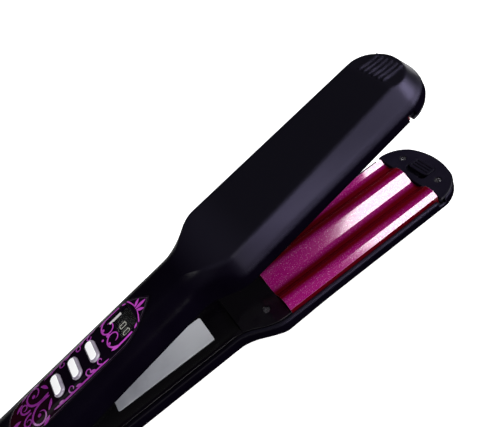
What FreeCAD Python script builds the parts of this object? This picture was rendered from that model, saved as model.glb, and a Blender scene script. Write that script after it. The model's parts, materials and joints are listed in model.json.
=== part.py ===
import FreeCAD, Part
import math
import os
import Sketcher

# Hair crimper with two hinged arms that carry wide wavy plates.
# Each arm is drawn in its own frame: hinge axis along Y through the origin, tip towards +X,
# outer face towards +Z, the two arms meeting in the plane Z = 0. Millimetres and degrees.

SIZES = {
    # whole arm
    "opening": 13.4,            # angle between the arms at rest
    "head_half": 26.5,          # half width of the head
    "heel_x": 146.0,            # where the neck has grown into the head
    "head_length": 104.0,       # straight sides of the head
    "tip_reach": 18.0,          # foremost point of the tip before the straight sides' end
    "tip_front_side": 10.0,     # ends of the tip's front arc inside the head's width
    "tip_front_drop": 3.5,      # ends of the front arc behind the foremost point
    "tip_side_bow": 1.9,        # bulge of the arcs that lead from the sides to the front arc
    "head_top": 16.8,           # outer flat above the meeting plane
    "bevel_z": 7.6,             # foot of the bevel round the outer flat
    "flat_heel_side": 6.2,      # outer flat inside the head's width at the heel
    "flat_tip_side": 9.7,       # outer flat inside the head's width at the tip
    "flat_tip_inset": 4.1,      # foremost point of the outer flat behind the tip
    "rim_z": 2.0,               # edge of the shell above the meeting plane
    "neck_length": 28.0,        # from the handle to the head
    "neck_half": 17.0,
    "neck_drop": 0.8,           # neck's crown below the head's outer flat
    "neck_bow_back": 12.0,      # reach of the neck's inward curve
    "neck_bow_front": 13.0,     # reach of the neck's outward curve
    "tail_half": 20.0,          # half width of the handle at the hinge
    "tail_x": 12.0,             # handle's end behind the hinge axis
    "tail_round": 3.0,
    "tail_corner": 7.0,
    "side_z": 5.0,              # where the handle's flank turns into its rounding
    "crown_half": 5.5,          # half width of the handle's crown
    "wall": 1.8,
    "ledge": 1.2,               # step inside the wall that carries covers
    "fit": 0.2,                 # clearance round covers set in the shell
    "overcut": 1.0,             # how far a cutting form runs past what it cuts
    # heated plate
    "plate_setback": 2.4,       # plate's start before the heel
    "plate_tip_gap": 3.2,       # plate's end behind the straight sides' end
    "plate_margin": 2.7,        # plate inside the head's width
    "wave_height": 2.6,         # crest above the plate's middle surface
    "flank_half": 2.9,          # half width of each flat flank between a crest and a valley
    "flank_height": 2.05,       # flank's end above the plate's middle surface
    "plate_gap": 0.2,           # middle surface above the meeting plane
    "plate_back": 5.0,
    "plate_tongue": 3.0,        # lip that runs in under the heel cover
    "tongue_z": 3.4,
    "carrier_thick": 3.0,
    "heater_length": 70.0,
    "heater_half": 9.0,
    "heater_thick": 2.6,
    # heel cover
    "step_ahead": 6.0,          # step between the covers, before the neck's start
    "heel_inner": 1.0,
    "heel_seat": 3.2,
    "heel_gap": 0.2,            # between a cover and what it ends against
    "heel_screw_back": 6.3,     # behind the heel
    "heel_screw_side": 12.9,    # inside the head's width
    # handle cover
    "cover_start": 9.0,
    "cover_inner": 1.4,
    "cover_seat": 5.7,
    "cover_wall": 1.6,
    "cover_rim": 1.8,
    "trough_depth": 3.2,
    "label_back": 11.4,         # behind the step
    "label_length": 54.2,
    "label_half": 5.8,
    "label_thick": 0.25,
    # tip cap and plate lock
    "cap_gap": 0.4,             # between the plate and the cap
    "cap_inner": 0.6,
    "cap_plug": 5.0,
    "cap_inset": 0.5,
    "cap_screw_ahead": 8.8,     # before the cap's start
    "cap_screw_side": 12.2,     # inside the head's width
    "lock_ahead": 10.4,         # before the cap's start
    "lock_half": 7.6,
    "lock_length": 7.8,
    "lock_travel": 3.0,
    "lock_proud": 0.5,
    "lock_depth": 2.4,
    "lock_stem_half": 2.0,
    "lock_groove": 0.5,
    "lock_grooves": 3,
    "slide_fit": 0.25,
    "notch_back": 2.4,          # behind the cap's start
    "notch_length": 4.6,
    "notch_height": 3.2,
    # thumb scoop on the outer face of the tip
    "scoop_back": 1.5,          # behind the straight sides' end
    "scoop_drop": 2.4,
    "scoop_radius": 55.0,
    "ridge_count": 6,
    "ridge_pitch": 3.5,
    "ridge_width": 1.5,
    "ridge_height": 0.8,
    "ridge_ahead": 1.5,         # before the scoop's start
    "ridge_length": 12.5,
    # screws
    "screw_head": 1.85,
    "screw_head_thick": 1.3,
    "screw_shank": 1.1,
    "screw_length": 7.0,
    "boss_radius": 3.0,
    # control panel
    "panel_back": 12.0,         # panel's point behind the neck
    "panel_nose": 20.0,         # length of the pointed part
    "panel_length": 82.0,
    "panel_swell": 0.62,        # half width of the pointed part at its middle, as a share
    "panel_half": 11.5,
    "panel_thick": 1.4,
    "panel_fit": 0.12,
    "window_back": 15.0,        # middle of the window behind the panel's point
    "window_length": 9.5,
    "window_half": 7.4,
    "window_thick": 1.2,
    "display_thick": 2.0,
    "button_back": 19.1,        # first key behind the window's middle
    "button_pitch": 10.2,
    "button_count": 3,
    "button_half": 2.7,
    "button_reach": 6.4,
    "button_proud": 1.1,
    "button_travel": 0.6,
    "button_fit": 0.25,
    "button_flange": 0.8,
    "button_flange_thick": 0.8,
    "board_z": 9.0,
    "board_thick": 1.2,
    "board_front": 10.0,        # board past the window's middle
    "board_rear": 13.5,         # board past the last key's middle
    "board_half": 9.5,
    "switch_size": 4.5,
    # hinge
    "pin_radius": 2.0,
    "pin_fit": 0.05,
    "knuckle_radius": 5.4,
    "knuckle_half": 7.0,
    "washer_thick": 0.5,
    "washer_radius": 4.4,
    "washer_fit": 0.1,
    "ear_width": 5.0,
    "web_half": 4.6,
    "spring_wire": 0.6,
    "spring_radius": 2.9,
    "spring_turns": 5,
    "spring_end": 1.2,          # free length of the barrel at each end of the spring
    # cord gland
    "gland_z": 8.4,
    "gland_radius": 4.4,
    "gland_bore": 3.2,
    "gland_fit": 0.08,
    "gland_collar": 6.0,
    "gland_taper": 1.2,
    "gland_collar_length": 8.0,
    "gland_lip": 0.6,
    "gland_lip_length": 1.5,
    "gland_gap": 0.2,
}

# stations and half widths worked out from the sizes: those to add, and those to take away
PLACES = {
    "tip_corner_x": (["heel_x", "head_length"], []),
    "tip_x": (["tip_corner_x", "tip_reach"], []),
    "flat_heel_half": (["head_half"], ["flat_heel_side"]),
    "flat_tip_half": (["head_half"], ["flat_tip_side"]),
    "neck_x": (["heel_x"], ["neck_length"]),
    "neck_top": (["head_top"], ["neck_drop"]),
    "plate_start": (["heel_x", "plate_setback"], []),
    "plate_end": (["tip_corner_x"], ["plate_tip_gap"]),
    "plate_half": (["head_half"], ["plate_margin"]),
    "step_x": (["neck_x", "step_ahead"], []),
    "heel_screw_x": (["heel_x"], ["heel_screw_back"]),
    "heel_screw_y": (["head_half"], ["heel_screw_side"]),
    "label_end": (["step_x"], ["label_back"]),
    "label_start": (["label_end"], ["label_length"]),
    "cap_start": (["plate_end", "cap_gap"], []),
    "cap_screw_x": (["cap_start", "cap_screw_ahead"], []),
    "cap_screw_y": (["head_half"], ["cap_screw_side"]),
    "lock_x": (["cap_start", "lock_ahead"], []),
    "notch_x": (["cap_start"], ["notch_back"]),
    "scoop_x": (["tip_corner_x"], ["scoop_back"]),
    "ridge_start": (["scoop_x", "ridge_ahead"], []),
    "panel_point": (["neck_x"], ["panel_back"]),
    "panel_shoulder": (["panel_point"], ["panel_nose"]),
    "panel_tail": (["panel_point"], ["panel_length"]),
    "window_x": (["panel_point"], ["window_back"]),
    "button_first": (["window_x"], ["button_back"]),
    "board_end": (["window_x", "board_front"], []),
}

doc = FreeCAD.newDocument("hair_crimper")
sheet = doc.addObject("Spreadsheet::Sheet", "Sizes")
for row, (alias, number) in enumerate(SIZES.items(), start=1):
    sheet.set(f"A{row}", alias)
    sheet.set(f"B{row}", str(number))
    sheet.setAlias(f"B{row}", alias)
doc.recompute()


class Size:
    """A value of the sheet, or a sum worked out from such values, kept as text and as a number."""

    def __init__(self, text, value):
        self.text = text
        self.value = value

    def __add__(self, other):
        return join(self, "+", other, self.value + number(other))

    def __sub__(self, other):
        return join(self, "-", other, self.value - number(other))

    def __rsub__(self, other):
        return join(other, "-", self, number(other) - self.value)

    def __mul__(self, other):
        return join(self, "*", other, self.value * number(other))

    def __truediv__(self, other):
        return join(self, "/", other, self.value / number(other))

    def __neg__(self):
        return Size(f"-({self.text})", -self.value)

    __radd__ = __add__
    __rmul__ = __mul__


def number(size):
    return size.value if isinstance(size, Size) else size


def words(size):
    return size.text if isinstance(size, Size) else str(size)


def join(first, sign, second, value):
    return Size(f"({words(first)} {sign} {words(second)})", value)


def size(alias):
    """A size of the sheet, or a place worked out from such sizes."""
    if alias not in PLACES:
        return Size(f"Sizes.{alias}", float(sheet.get(alias)))
    added, taken = PLACES[alias]
    total = size(added[0])
    for name in added[1:]:
        total = total + size(name)
    for name in taken:
        total = total - size(name)
    return total


def mm(alias):
    return size(alias).value


# ---- document objects bound to the sheet

def bind(target, prop, value):
    if isinstance(value, Size):
        target.setExpression(prop, value.text)
    else:
        setattr(target, prop, value)


def new_body(name):
    body = doc.addObject("PartDesign::Body", name)
    body.Label = name
    return body


def new_sketch(body, name, plane, offset=0.0):
    sketch = body.newObject("Sketcher::SketchObject", name)
    support = [f for f in body.Origin.OriginFeatures if f.Role == plane]
    sketch.AttachmentSupport = (support[0], "")
    sketch.MapMode = "FlatFace"
    if isinstance(offset, Size):
        sketch.AttachmentOffset.Base = FreeCAD.Vector(0, 0, offset.value)
        sketch.setExpression("AttachmentOffset.Base.z", offset.text)
    doc.recompute()
    return sketch


def datum(sketch, kind, geometry, value):
    """A driving constraint measured from the sketch's origin or along one curve."""
    if kind in ("DistanceX", "DistanceY"):
        index = sketch.addConstraint(Sketcher.Constraint(kind, -1, 1, *geometry, number(value)))
    else:
        index = sketch.addConstraint(Sketcher.Constraint(kind, *geometry, number(value)))
    if isinstance(value, Size):
        sketch.setExpression(f"Constraints[{index}]", value.text)


def draw_outline(sketch, corners):
    """A closed outline; a corner may name a mid point, and an arc through that point leads to it."""
    count = len(corners)
    points = [FreeCAD.Vector(number(c[0]), number(c[1]), 0) for c in corners]
    first = sketch.GeometryCount
    for k in range(count):
        corner = corners[(k + 1) % count]
        start, end = points[k], points[(k + 1) % count]
        if len(corner) == 3:
            mid = FreeCAD.Vector(number(corner[2][0]), number(corner[2][1]), 0)
            sketch.addGeometry(Part.Arc(start, mid, end), False)
        else:
            sketch.addGeometry(Part.LineSegment(start, end), False)
    for k in range(count):
        here, after = first + k, first + (k + 1) % count
        corner = corners[(k + 1) % count]
        forward = end_of(sketch, here, points[(k + 1) % count])
        backward = end_of(sketch, after, points[(k + 1) % count])
        sketch.addConstraint(Sketcher.Constraint("Coincident", here, forward, after, backward))
        datum(sketch, "DistanceX", (here, forward), corner[0])
        datum(sketch, "DistanceY", (here, forward), corner[1])
        if len(corner) == 3:
            mid = FreeCAD.Vector(number(corner[2][0]), number(corner[2][1]), 0)
            point = sketch.addGeometry(Part.Point(mid), True)
            datum(sketch, "DistanceX", (point, 1), corner[2][0])
            datum(sketch, "DistanceY", (point, 1), corner[2][1])
            sketch.addConstraint(Sketcher.Constraint("PointOnObject", point, 1, here))


def end_of(sketch, geometry, point):
    """Which end of a curve lies at a point: 1 is its start and 2 its end."""
    start = sketch.getPoint(geometry, 1)
    end = sketch.getPoint(geometry, 2)
    return 1 if start.distanceToPoint(point) < end.distanceToPoint(point) else 2


def rectangle(x_low, x_high, y_half):
    return [(x_low, -y_half), (x_high, -y_half), (x_high, y_half), (x_low, y_half)]


def add_pad(body, sketch, length):
    pad = body.newObject("PartDesign::Pad", sketch.Name + "_pad")
    pad.Profile = sketch
    bind(pad, "Length", length)
    sketch.Visibility = False
    doc.recompute()
    return pad


def add_pocket(body, sketch, length):
    """A pocket cut along +Z of the sketch; it has to take something away."""
    before = body.Shape.Volume
    pocket = body.newObject("PartDesign::Pocket", sketch.Name + "_pocket")
    pocket.Profile = sketch
    pocket.Reversed = True
    bind(pocket, "Length", length)
    doc.recompute()
    if body.Shape.Volume >= before - 1e-6:
        raise RuntimeError(f"{pocket.Name} cuts nothing")
    return pocket


def round_uprights(body, radius):
    """Fillet on every edge of the body that stands along Z."""
    tip = body.Tip
    names = []
    for k, edge in enumerate(tip.Shape.Edges, start=1):
        if abs(edge.tangentAt(edge.FirstParameter).z) > 0.9:
            names.append(f"Edge{k}")
    fillet = body.newObject("PartDesign::Fillet", body.Name + "_corners")
    fillet.Base = (tip, names)
    bind(fillet, "Radius", radius)
    doc.recompute()
    return fillet


# ---- surfaces of the moulded arm

def lerp(start, end, share):
    return start + (end - start) * share


def neck_curve(share):
    """Plan curve of the neck, a cubic from the handle's width to the head's: x and half width."""
    reach_back = mm("neck_x") + mm("neck_bow_back")
    reach_front = mm("heel_x") - mm("neck_bow_front")
    b = [(1 - share) ** 3, 3 * share * (1 - share) ** 2, 3 * share ** 2 * (1 - share), share ** 3]
    x = b[0] * mm("neck_x") + b[1] * reach_back + b[2] * reach_front + b[3] * mm("heel_x")
    half = (b[0] + b[1]) * mm("neck_half") + (b[2] + b[3]) * mm("head_half")
    return x, half


def section(x, half, top, flat, side, share, inset, low, plain):
    """Wire across the arm; share goes from 0, the handle's rounding, to 1, the head's straight bevel.

    A plain section, for hollows, has two straight runs in place of the rounding.
    """
    half, top = half - inset, top - inset
    flat = lerp(flat, flat - inset, share)
    foot = FreeCAD.Vector(x, half, side)
    crown = FreeCAD.Vector(x, flat, top)
    bow = 0.5523
    round_side = FreeCAD.Vector(x, half, lerp(side, top, bow))
    round_top = FreeCAD.Vector(x, lerp(flat, half, bow), top)
    bevel_poles = [foot + (crown - foot) / 3, foot + (crown - foot) * 2 / 3]
    inner = [lerp(a, b, share) for a, b in zip((round_side, round_top), bevel_poles)]
    rise = [foot, *inner, crown]
    if plain:
        rise = [foot, (foot + crown) / 8 + (inner[0] + inner[1]) * 3 / 8, crown]
    fall = [FreeCAD.Vector(p.x, -p.y, p.z) for p in rise[::-1]]
    base_right = FreeCAD.Vector(x, half, low)
    base_left = FreeCAD.Vector(x, -half, low)
    edges = [Part.makeLine(base_left, base_right), Part.makeLine(base_right, foot)]
    edges += shoulder_edges(rise, plain)
    edges.append(Part.makeLine(crown, fall[0]))
    edges += shoulder_edges(fall, plain)
    edges.append(Part.makeLine(fall[-1], base_left))
    return Part.Wire(edges)


def shoulder_edges(points, plain):
    """Straight runs through the points, or one curve that they steer."""
    if plain:
        return [Part.makeLine(a, b) for a, b in zip(points, points[1:])]
    curve = Part.BezierCurve()
    curve.setPoles(points)
    return [curve.toShape()]


def neck_section(share, inset, low, plain):
    x, half = neck_curve(share)
    ease = share * share * (3 - 2 * share)
    top = lerp(mm("neck_top"), mm("head_top"), ease)
    flat = lerp(mm("crown_half"), mm("flat_heel_half"), ease)
    side = lerp(mm("side_z"), mm("bevel_z"), ease)
    return section(x, half, top, flat, side, ease, inset, low, plain)


def handle_half(x):
    """Half width of the handle at a station."""
    along = (x + mm("tail_x")) / (mm("neck_x") + mm("tail_x"))
    return lerp(mm("tail_half"), mm("neck_half"), along)


def crown_height(x):
    """Height of the handle's crown at a station."""
    along = (x + mm("tail_x")) / (mm("neck_x") + mm("tail_x"))
    return lerp(mm("head_top"), mm("neck_top"), along)


def handle_section(x, inset, low, plain):
    half, top = handle_half(x), crown_height(x)
    return section(x, half, top, mm("crown_half"), mm("side_z"), 0.0, inset, low, plain)


def tip_arcs(half, nose, z):
    """Three arcs round the tip, from the straight side at -Y to the one at +Y."""
    corner = mm("tip_corner_x")
    front_x = nose - mm("tip_front_drop")
    front_half = half * (1 - mm("tip_front_side") / mm("head_half"))
    run, rise = front_x - corner, half - front_half
    bow = mm("tip_side_bow") / math.hypot(run, rise)
    side_x = (corner + front_x) / 2 + bow * rise
    side_half = (half + front_half) / 2 + bow * run
    spots = [(corner, -half), (side_x, -side_half), (front_x, -front_half), (nose, 0),
             (front_x, front_half), (side_x, side_half), (corner, half)]
    points = [FreeCAD.Vector(x, y, z) for x, y in spots]
    return [Part.Arc(*points[k:k + 3]).toShape() for k in (0, 2, 4)]


def head_outline(inset, z, top=False):
    """Plan of the head at a height: straight sides and the arcs round the tip."""
    heel_half = mm("flat_heel_half") if top else mm("head_half")
    tip_half = mm("flat_tip_half") if top else mm("head_half")
    nose = mm("tip_x") - inset - (mm("flat_tip_inset") if top else 0.0)
    heel_half, tip_half = heel_half - inset, tip_half - inset
    heel, corner = mm("heel_x"), mm("tip_corner_x")
    a = FreeCAD.Vector(heel, -heel_half, z)
    b = FreeCAD.Vector(corner, -tip_half, z)
    c = FreeCAD.Vector(corner, tip_half, z)
    d = FreeCAD.Vector(heel, heel_half, z)
    arcs = tip_arcs(tip_half, nose, z)
    return Part.Wire([Part.makeLine(a, b), *arcs, Part.makeLine(c, d), Part.makeLine(d, a)])


def arm_form(inset, low, tail, plain=False):
    """Solid of the arm's outer form, drawn in by inset, from low up, starting at tail."""
    foot, crown = mm("bevel_z"), mm("head_top") - inset
    head_low = Part.Face(head_outline(inset, low)).extrude(FreeCAD.Vector(0, 0, foot - low))
    head_high = Part.makeLoft([head_outline(inset, foot), head_outline(inset, crown, top=True)], True, True)
    neck_steps = [neck_section(k / 4, inset, low, plain) for k in range(5)]
    neck = Part.makeLoft(neck_steps, True, plain)
    handle = Part.makeLoft([handle_section(tail, inset, low, plain), neck_steps[0]], True, True)
    return handle.fuse([neck, head_low, head_high])


def arm_skin(thick):
    """Outer layer of the arm's form, thick from the surface in."""
    below = mm("rim_z") - mm("overcut")
    return arm_form(0.0, mm("rim_z"), -mm("tail_x")).cut(arm_form(thick, below, -mm("tail_x")))


def plan_prism(inset, x_low, x_high, z_low, z_high):
    """Solid inside the arm's plan, drawn in by inset, between two stations and two heights."""
    neck_points = [neck_curve(k / 8) for k in range(9)]
    neck_side = Part.BSplineCurve()
    neck_side.interpolate([FreeCAD.Vector(x, half - inset, z_low) for x, half in neck_points])
    other_side = Part.BSplineCurve()
    other_side.interpolate([FreeCAD.Vector(x, inset - half, z_low) for x, half in neck_points[::-1]])
    tail = -mm("tail_x")
    tail_half = handle_half(tail) - inset
    neck_half = mm("neck_half") - inset
    head_half = mm("head_half") - inset
    corner, heel, nose = mm("tip_corner_x"), mm("heel_x"), mm("tip_x") - inset
    edges = [
        Part.makeLine((tail, -tail_half, z_low), (tail, tail_half, z_low)),
        Part.makeLine((tail, tail_half, z_low), (mm("neck_x"), neck_half, z_low)),
        neck_side.toShape(),
        Part.makeLine((heel, head_half, z_low), (corner, head_half, z_low)),
        *tip_arcs(head_half, nose, z_low)[::-1],
        Part.makeLine((corner, -head_half, z_low), (heel, -head_half, z_low)),
        other_side.toShape(),
        Part.makeLine((mm("neck_x"), -neck_half, z_low), (tail, -tail_half, z_low)),
    ]
    prism = Part.Face(Part.Wire(edges)).extrude(FreeCAD.Vector(0, 0, z_high - z_low))
    width = 2 * mm("head_half")
    window = Part.makeBox(x_high - x_low, width, z_high - z_low, FreeCAD.Vector(x_low, -width / 2, z_low))
    return prism.common(window)


def block(x_low, x_high, y_low, y_high, z_low, z_high):
    return Part.makeBox(x_high - x_low, y_high - y_low, z_high - z_low, FreeCAD.Vector(x_low, y_low, z_low))


def rod(radius, start, end):
    start, end = FreeCAD.Vector(*start), FreeCAD.Vector(*end)
    return Part.makeCylinder(radius, start.distanceToPoint(end), start, end - start)


def put_shape(name, shape):
    """A moulded piece worked out above, as one object of the document."""
    feature = doc.addObject("Part::Feature", name)
    feature.Label = name
    feature.Shape = shape.removeSplitter()
    return feature


# ---- shell of an arm

def scoop_cut(lift):
    """Cylinder across the tip whose underside is the scoop's floor, raised by lift."""
    run = mm("tip_x") - mm("scoop_x")
    drop = mm("scoop_drop")
    chord = math.hypot(run, drop)
    rise = math.sqrt(mm("scoop_radius") ** 2 - (chord / 2) ** 2)
    middle_x = (mm("scoop_x") + mm("tip_x")) / 2
    middle_z = mm("head_top") - drop / 2
    centre_x = middle_x + rise * drop / chord
    centre_z = middle_z + rise * run / chord
    width = 2 * mm("head_half")
    return rod(mm("scoop_radius"), (centre_x, -width, centre_z + lift), (centre_x, width, centre_z + lift))


def thumb_ridges(outer):
    """Lengthwise bars that stand on the scoop's floor."""
    raised = outer.cut(scoop_cut(mm("ridge_height")))
    count = int(mm("ridge_count"))
    bars = []
    for k in range(count):
        y = (k - (count - 1) / 2) * mm("ridge_pitch")
        start = mm("ridge_start")
        bar = block(start, start + mm("ridge_length"), y - mm("ridge_width") / 2, y + mm("ridge_width") / 2,
                    mm("head_top") - mm("scoop_drop") - mm("wall") / 2, mm("head_top"))
        bars.append(bar)
    return raised.common(Part.makeCompound(bars))


def stadium(x, half_length, half_width, z_low, z_high):
    """Oblong block across the arm with round ends: half_length along Y, half_width along X."""
    reach = half_length - half_width
    middle = block(x - half_width, x + half_width, -reach, reach, z_low, z_high)
    ends = [rod(half_width, (x, y, z_low), (x, y, z_high)) for y in (-reach, reach)]
    return middle.fuse(ends)


def panel_prism(grow, z_low, z_high):
    """Leaf-shaped prism of the control panel: a pointed front, straight flanks and a round tail."""
    half = mm("panel_half") + grow
    point, shoulder = mm("panel_point") + 2 * grow, mm("panel_shoulder")
    tail = mm("panel_tail") - grow
    back = tail + half
    swell = mm("panel_swell") * half
    middle = lerp(shoulder, point, 0.6)
    front = Part.Arc(FreeCAD.Vector(shoulder, half, z_low), FreeCAD.Vector(middle, swell, z_low),
                     FreeCAD.Vector(point, 0, z_low)).toShape()
    front_other = Part.Arc(FreeCAD.Vector(point, 0, z_low), FreeCAD.Vector(middle, -swell, z_low),
                           FreeCAD.Vector(shoulder, -half, z_low)).toShape()
    end = Part.Arc(FreeCAD.Vector(back, -half, z_low), FreeCAD.Vector(tail, 0, z_low),
                   FreeCAD.Vector(back, half, z_low)).toShape()
    edges = [
        front,
        front_other,
        Part.makeLine((shoulder, -half, z_low), (back, -half, z_low)),
        end,
        Part.makeLine((back, half, z_low), (shoulder, half, z_low)),
    ]
    return Part.Face(Part.Wire(edges)).extrude(FreeCAD.Vector(0, 0, z_high - z_low))


def button_places():
    return [mm("button_first") - k * mm("button_pitch") for k in range(int(mm("button_count")))]


def arm_shell(name, upper):
    rim, wall = mm("rim_z"), mm("wall")
    inner = wall + mm("ledge")
    below = rim - mm("overcut")
    tail = -mm("tail_x")
    outer = arm_form(0.0, rim, tail)
    round_off = block(tail, 2 * mm("tip_x"), -2 * mm("head_half"), 2 * mm("head_half"), 0, mm("head_top"))
    rear = [e for e in round_off.Edges if abs(e.CenterOfMass.x - tail) < 1e-6]
    rear_top = [e for e in rear if abs(e.CenterOfMass.z - mm("head_top")) < 1e-6]
    outer = outer.common(round_off.makeFillet(mm("tail_round"), rear_top))
    half = handle_half(tail)
    rear_block = block(tail, mm("neck_x"), -half, half, 0, mm("head_top"))
    behind = [e for e in rear_block.Edges if abs(e.CenterOfMass.x - tail) < 1e-6]
    uprights = [e for e in behind if abs(e.CenterOfMass.y) > half / 2]
    rear_block = rear_block.makeFillet(mm("tail_corner"), uprights)
    front_block = block(mm("neck_x") / 2, mm("tip_x"), -mm("head_half"), mm("head_half"), 0, mm("head_top"))
    outer = outer.common(rear_block.fuse(front_block))
    ridges = thumb_ridges(outer)
    outer = outer.cut(scoop_cut(0.0))
    cavity = arm_form(inner, below, tail + inner, plain=True)
    # the scoop takes the ceiling away near the tip, so the hollow stops short of it
    cavity = cavity.cut(block(mm("scoop_x"), mm("tip_x"), -mm("head_half"), mm("head_half"),
                              mm("head_top") - mm("scoop_drop") - inner, mm("head_top")))
    shell = outer.cut(cavity).fuse(ridges)
    # rebates that take the covers, each as deep as its piece
    seat = plan_prism(wall, tail + wall, mm("step_x"), below, mm("cover_seat"))
    rear_end = mm("cover_start") - mm("fit")
    seat = seat.cut(block(tail, rear_end, -mm("head_half"), mm("head_half"), below, mm("head_top")))
    shell = shell.cut(seat)
    shell = shell.cut(plan_prism(wall, mm("step_x"), mm("heel_x") + wall, below, mm("heel_seat")))
    carrier_top = mm("plate_back") + mm("carrier_thick")
    shell = shell.cut(plan_prism(wall, mm("heel_x") - wall, mm("tip_x"), below, carrier_top))
    # bosses for the screws of the heel cover and the tip cap
    bosses = []
    for x, y, seat_z in screw_places():
        ceiling = mm("head_top") - wall - (mm("scoop_drop") if x > mm("scoop_x") else 0.0)
        bosses.append(rod(mm("boss_radius"), (x, y, seat_z), (x, y, ceiling)))
    inside = arm_form(wall / 2, below, tail + wall, plain=True)
    shell = shell.fuse([boss.common(inside) for boss in bosses])
    for x, y, seat_z in screw_places():
        shell = shell.cut(rod(mm("screw_shank"), (x, y, 0), (x, y, seat_z + mm("screw_length"))))
    # notch in both side walls beside the tip cap
    notch_start, notch_end = mm("notch_x"), mm("notch_x") + mm("notch_length")
    width = 2 * mm("head_half")
    notch = block(notch_start, notch_end, -width, width, below, rim + mm("notch_height"))
    shell = shell.cut(notch)
    shell = shell.fuse(hinge_knuckles(upper))
    bore = mm("pin_radius") + mm("pin_fit")
    shell = shell.cut(rod(bore, (0, -mm("head_half"), 0), (0, mm("head_half"), 0)))
    if upper:
        barrel = mm("knuckle_half") - mm("spring_end")
        room = mm("spring_radius") + mm("spring_wire") * 2
        shell = shell.cut(rod(room, (0, -barrel, 0), (0, barrel, 0)))
        shell = shell.fuse(board_posts())
        shell = shell.cut(panel_seat())
    else:
        radius = mm("gland_radius") + mm("gland_fit")
        outside, inside = tail - mm("overcut"), tail + inner + mm("overcut")
        shell = shell.cut(rod(radius, (outside, 0, mm("gland_z")), (inside, 0, mm("gland_z"))))
    return put_shape(name, shell)


def screw_places():
    """Each screw of one arm: x, y and the height where its boss starts."""
    heel = [(mm("heel_screw_x"), y, mm("heel_seat")) for y in (-mm("heel_screw_y"), mm("heel_screw_y"))]
    cap = [(mm("cap_screw_x"), y, mm("cap_plug")) for y in (-mm("cap_screw_y"), mm("cap_screw_y"))]
    return heel + cap


def hinge_knuckles(upper):
    """Barrels round the hinge pin with the webs that tie them to the shell's ceiling."""
    ceiling = mm("head_top") - mm("wall") - mm("ledge")
    inner_end = mm("knuckle_half") + mm("washer_thick") + 2 * mm("washer_fit")
    spans = [(-mm("knuckle_half"), mm("knuckle_half"))] if upper else [
        (inner_end, inner_end + mm("ear_width")), (-inner_end - mm("ear_width"), -inner_end)]
    parts = []
    for low, high in spans:
        parts.append(rod(mm("knuckle_radius"), (0, low, 0), (0, high, 0)))
        parts.append(block(-mm("web_half"), mm("web_half"), low, high, 0, ceiling + mm("wall") / 2))
    return parts[0].fuse(parts[1:])


def board_posts():
    """Four posts that hang from the ceiling and carry the control board."""
    posts = []
    for x in (board_start().value + mm("boss_radius"), mm("board_end") - mm("boss_radius")):
        for side in (-1, 1):
            y = side * (mm("board_half") - mm("boss_radius") / 2)
            top = crown_height(x) - mm("wall")
            posts.append(rod(mm("boss_radius") / 2, (x, y, mm("board_z")), (x, y, top)))
    inside = arm_form(mm("wall"), mm("rim_z"), -mm("tail_x") + mm("wall"), plain=True)
    return [post.common(inside) for post in posts]


def panel_seat():
    """What the control panel, its display and its buttons take out of the upper shell."""
    top = mm("head_top") + mm("overcut")
    floor = arm_form(mm("panel_thick"), mm("rim_z") - mm("overcut"), -mm("tail_x"))
    seat = panel_prism(mm("panel_fit"), mm("side_z"), top).cut(floor)
    grow = mm("button_flange") + mm("button_fit")
    flats = [stadium(x, mm("button_reach") + grow, mm("button_half") + grow, mm("board_z"), flange_stop(x))
             for x in button_places()]
    return seat.fuse(control_openings(mm("board_z"), top) + flats)


def control_openings(z_low, z_high):
    """Openings of the display and the keys through the panel and the shell."""
    half_x, half_y, fit = mm("window_length") / 2, mm("window_half"), mm("button_fit")
    middle = mm("window_x")
    openings = [block(middle - half_x, middle + half_x, -half_y, half_y, z_low, z_high)]
    for x in button_places():
        openings.append(stadium(x, mm("button_reach") + fit, mm("button_half") + fit, z_low, z_high))
    return openings


def control_panel(name):
    """Leaf-shaped insert that follows the handle's crown."""
    top = mm("head_top") + mm("overcut")
    panel = panel_prism(0.0, mm("side_z"), top).common(arm_skin(mm("panel_thick")))
    return put_shape(name, panel.cut(control_openings(0, top)))


def display_window(name):
    half_x = mm("window_length") / 2 - mm("panel_fit")
    half_y = mm("window_half") - mm("panel_fit")
    x = mm("window_x")
    pane = block(x - half_x, x + half_x, -half_y, half_y, mm("side_z"), mm("head_top"))
    return put_shape(name, pane.common(arm_skin(mm("window_thick"))))


def screw_holes(places, face):
    """Stepped holes for screws whose heads lie flush with a face."""
    fit = mm("slide_fit")
    holes = []
    for x, y, seat_z in places:
        holes.append(rod(mm("screw_head") + fit, (x, y, 0), (x, y, face + mm("screw_head_thick"))))
        holes.append(rod(mm("screw_shank") + fit, (x, y, 0), (x, y, seat_z + mm("overcut"))))
    return holes


def tip_cap(name):
    """Cap over the tip: a plate on the shell's edge and a plug inside it, with the lock's slot."""
    lid = plan_prism(mm("cap_inset"), mm("cap_start"), mm("tip_x"), mm("cap_inner"), mm("rim_z"))
    plug = plan_prism(mm("wall") + mm("fit"), mm("cap_start"), mm("tip_x"), mm("rim_z"), mm("cap_plug"))
    cap = lid.fuse(plug)
    cap = cap.cut(screw_holes(screw_places()[2:], mm("cap_inner")))
    fit = mm("slide_fit")
    front = mm("lock_x") + mm("lock_length") / 2 + fit
    back = mm("lock_x") - mm("lock_length") / 2 - mm("lock_travel") - fit
    half = mm("lock_half") + fit
    slot = block(back, front, -half, half, 0, mm("cap_inner") + mm("lock_depth"))
    upright = [e for e in slot.Edges if abs(e.tangentAt(e.FirstParameter).z) > 0.9]
    cap = cap.cut(slot.makeFillet(mm("lock_half") / 3, upright))
    stem = mm("lock_stem_half") + fit
    floor = mm("cap_inner") + mm("lock_depth") - 2 * fit
    start = mm("cap_start") - mm("overcut")
    tunnel = block(start, front - fit, -stem, stem, floor, mm("head_top"))
    return put_shape(name, cap.cut(tunnel))


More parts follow.
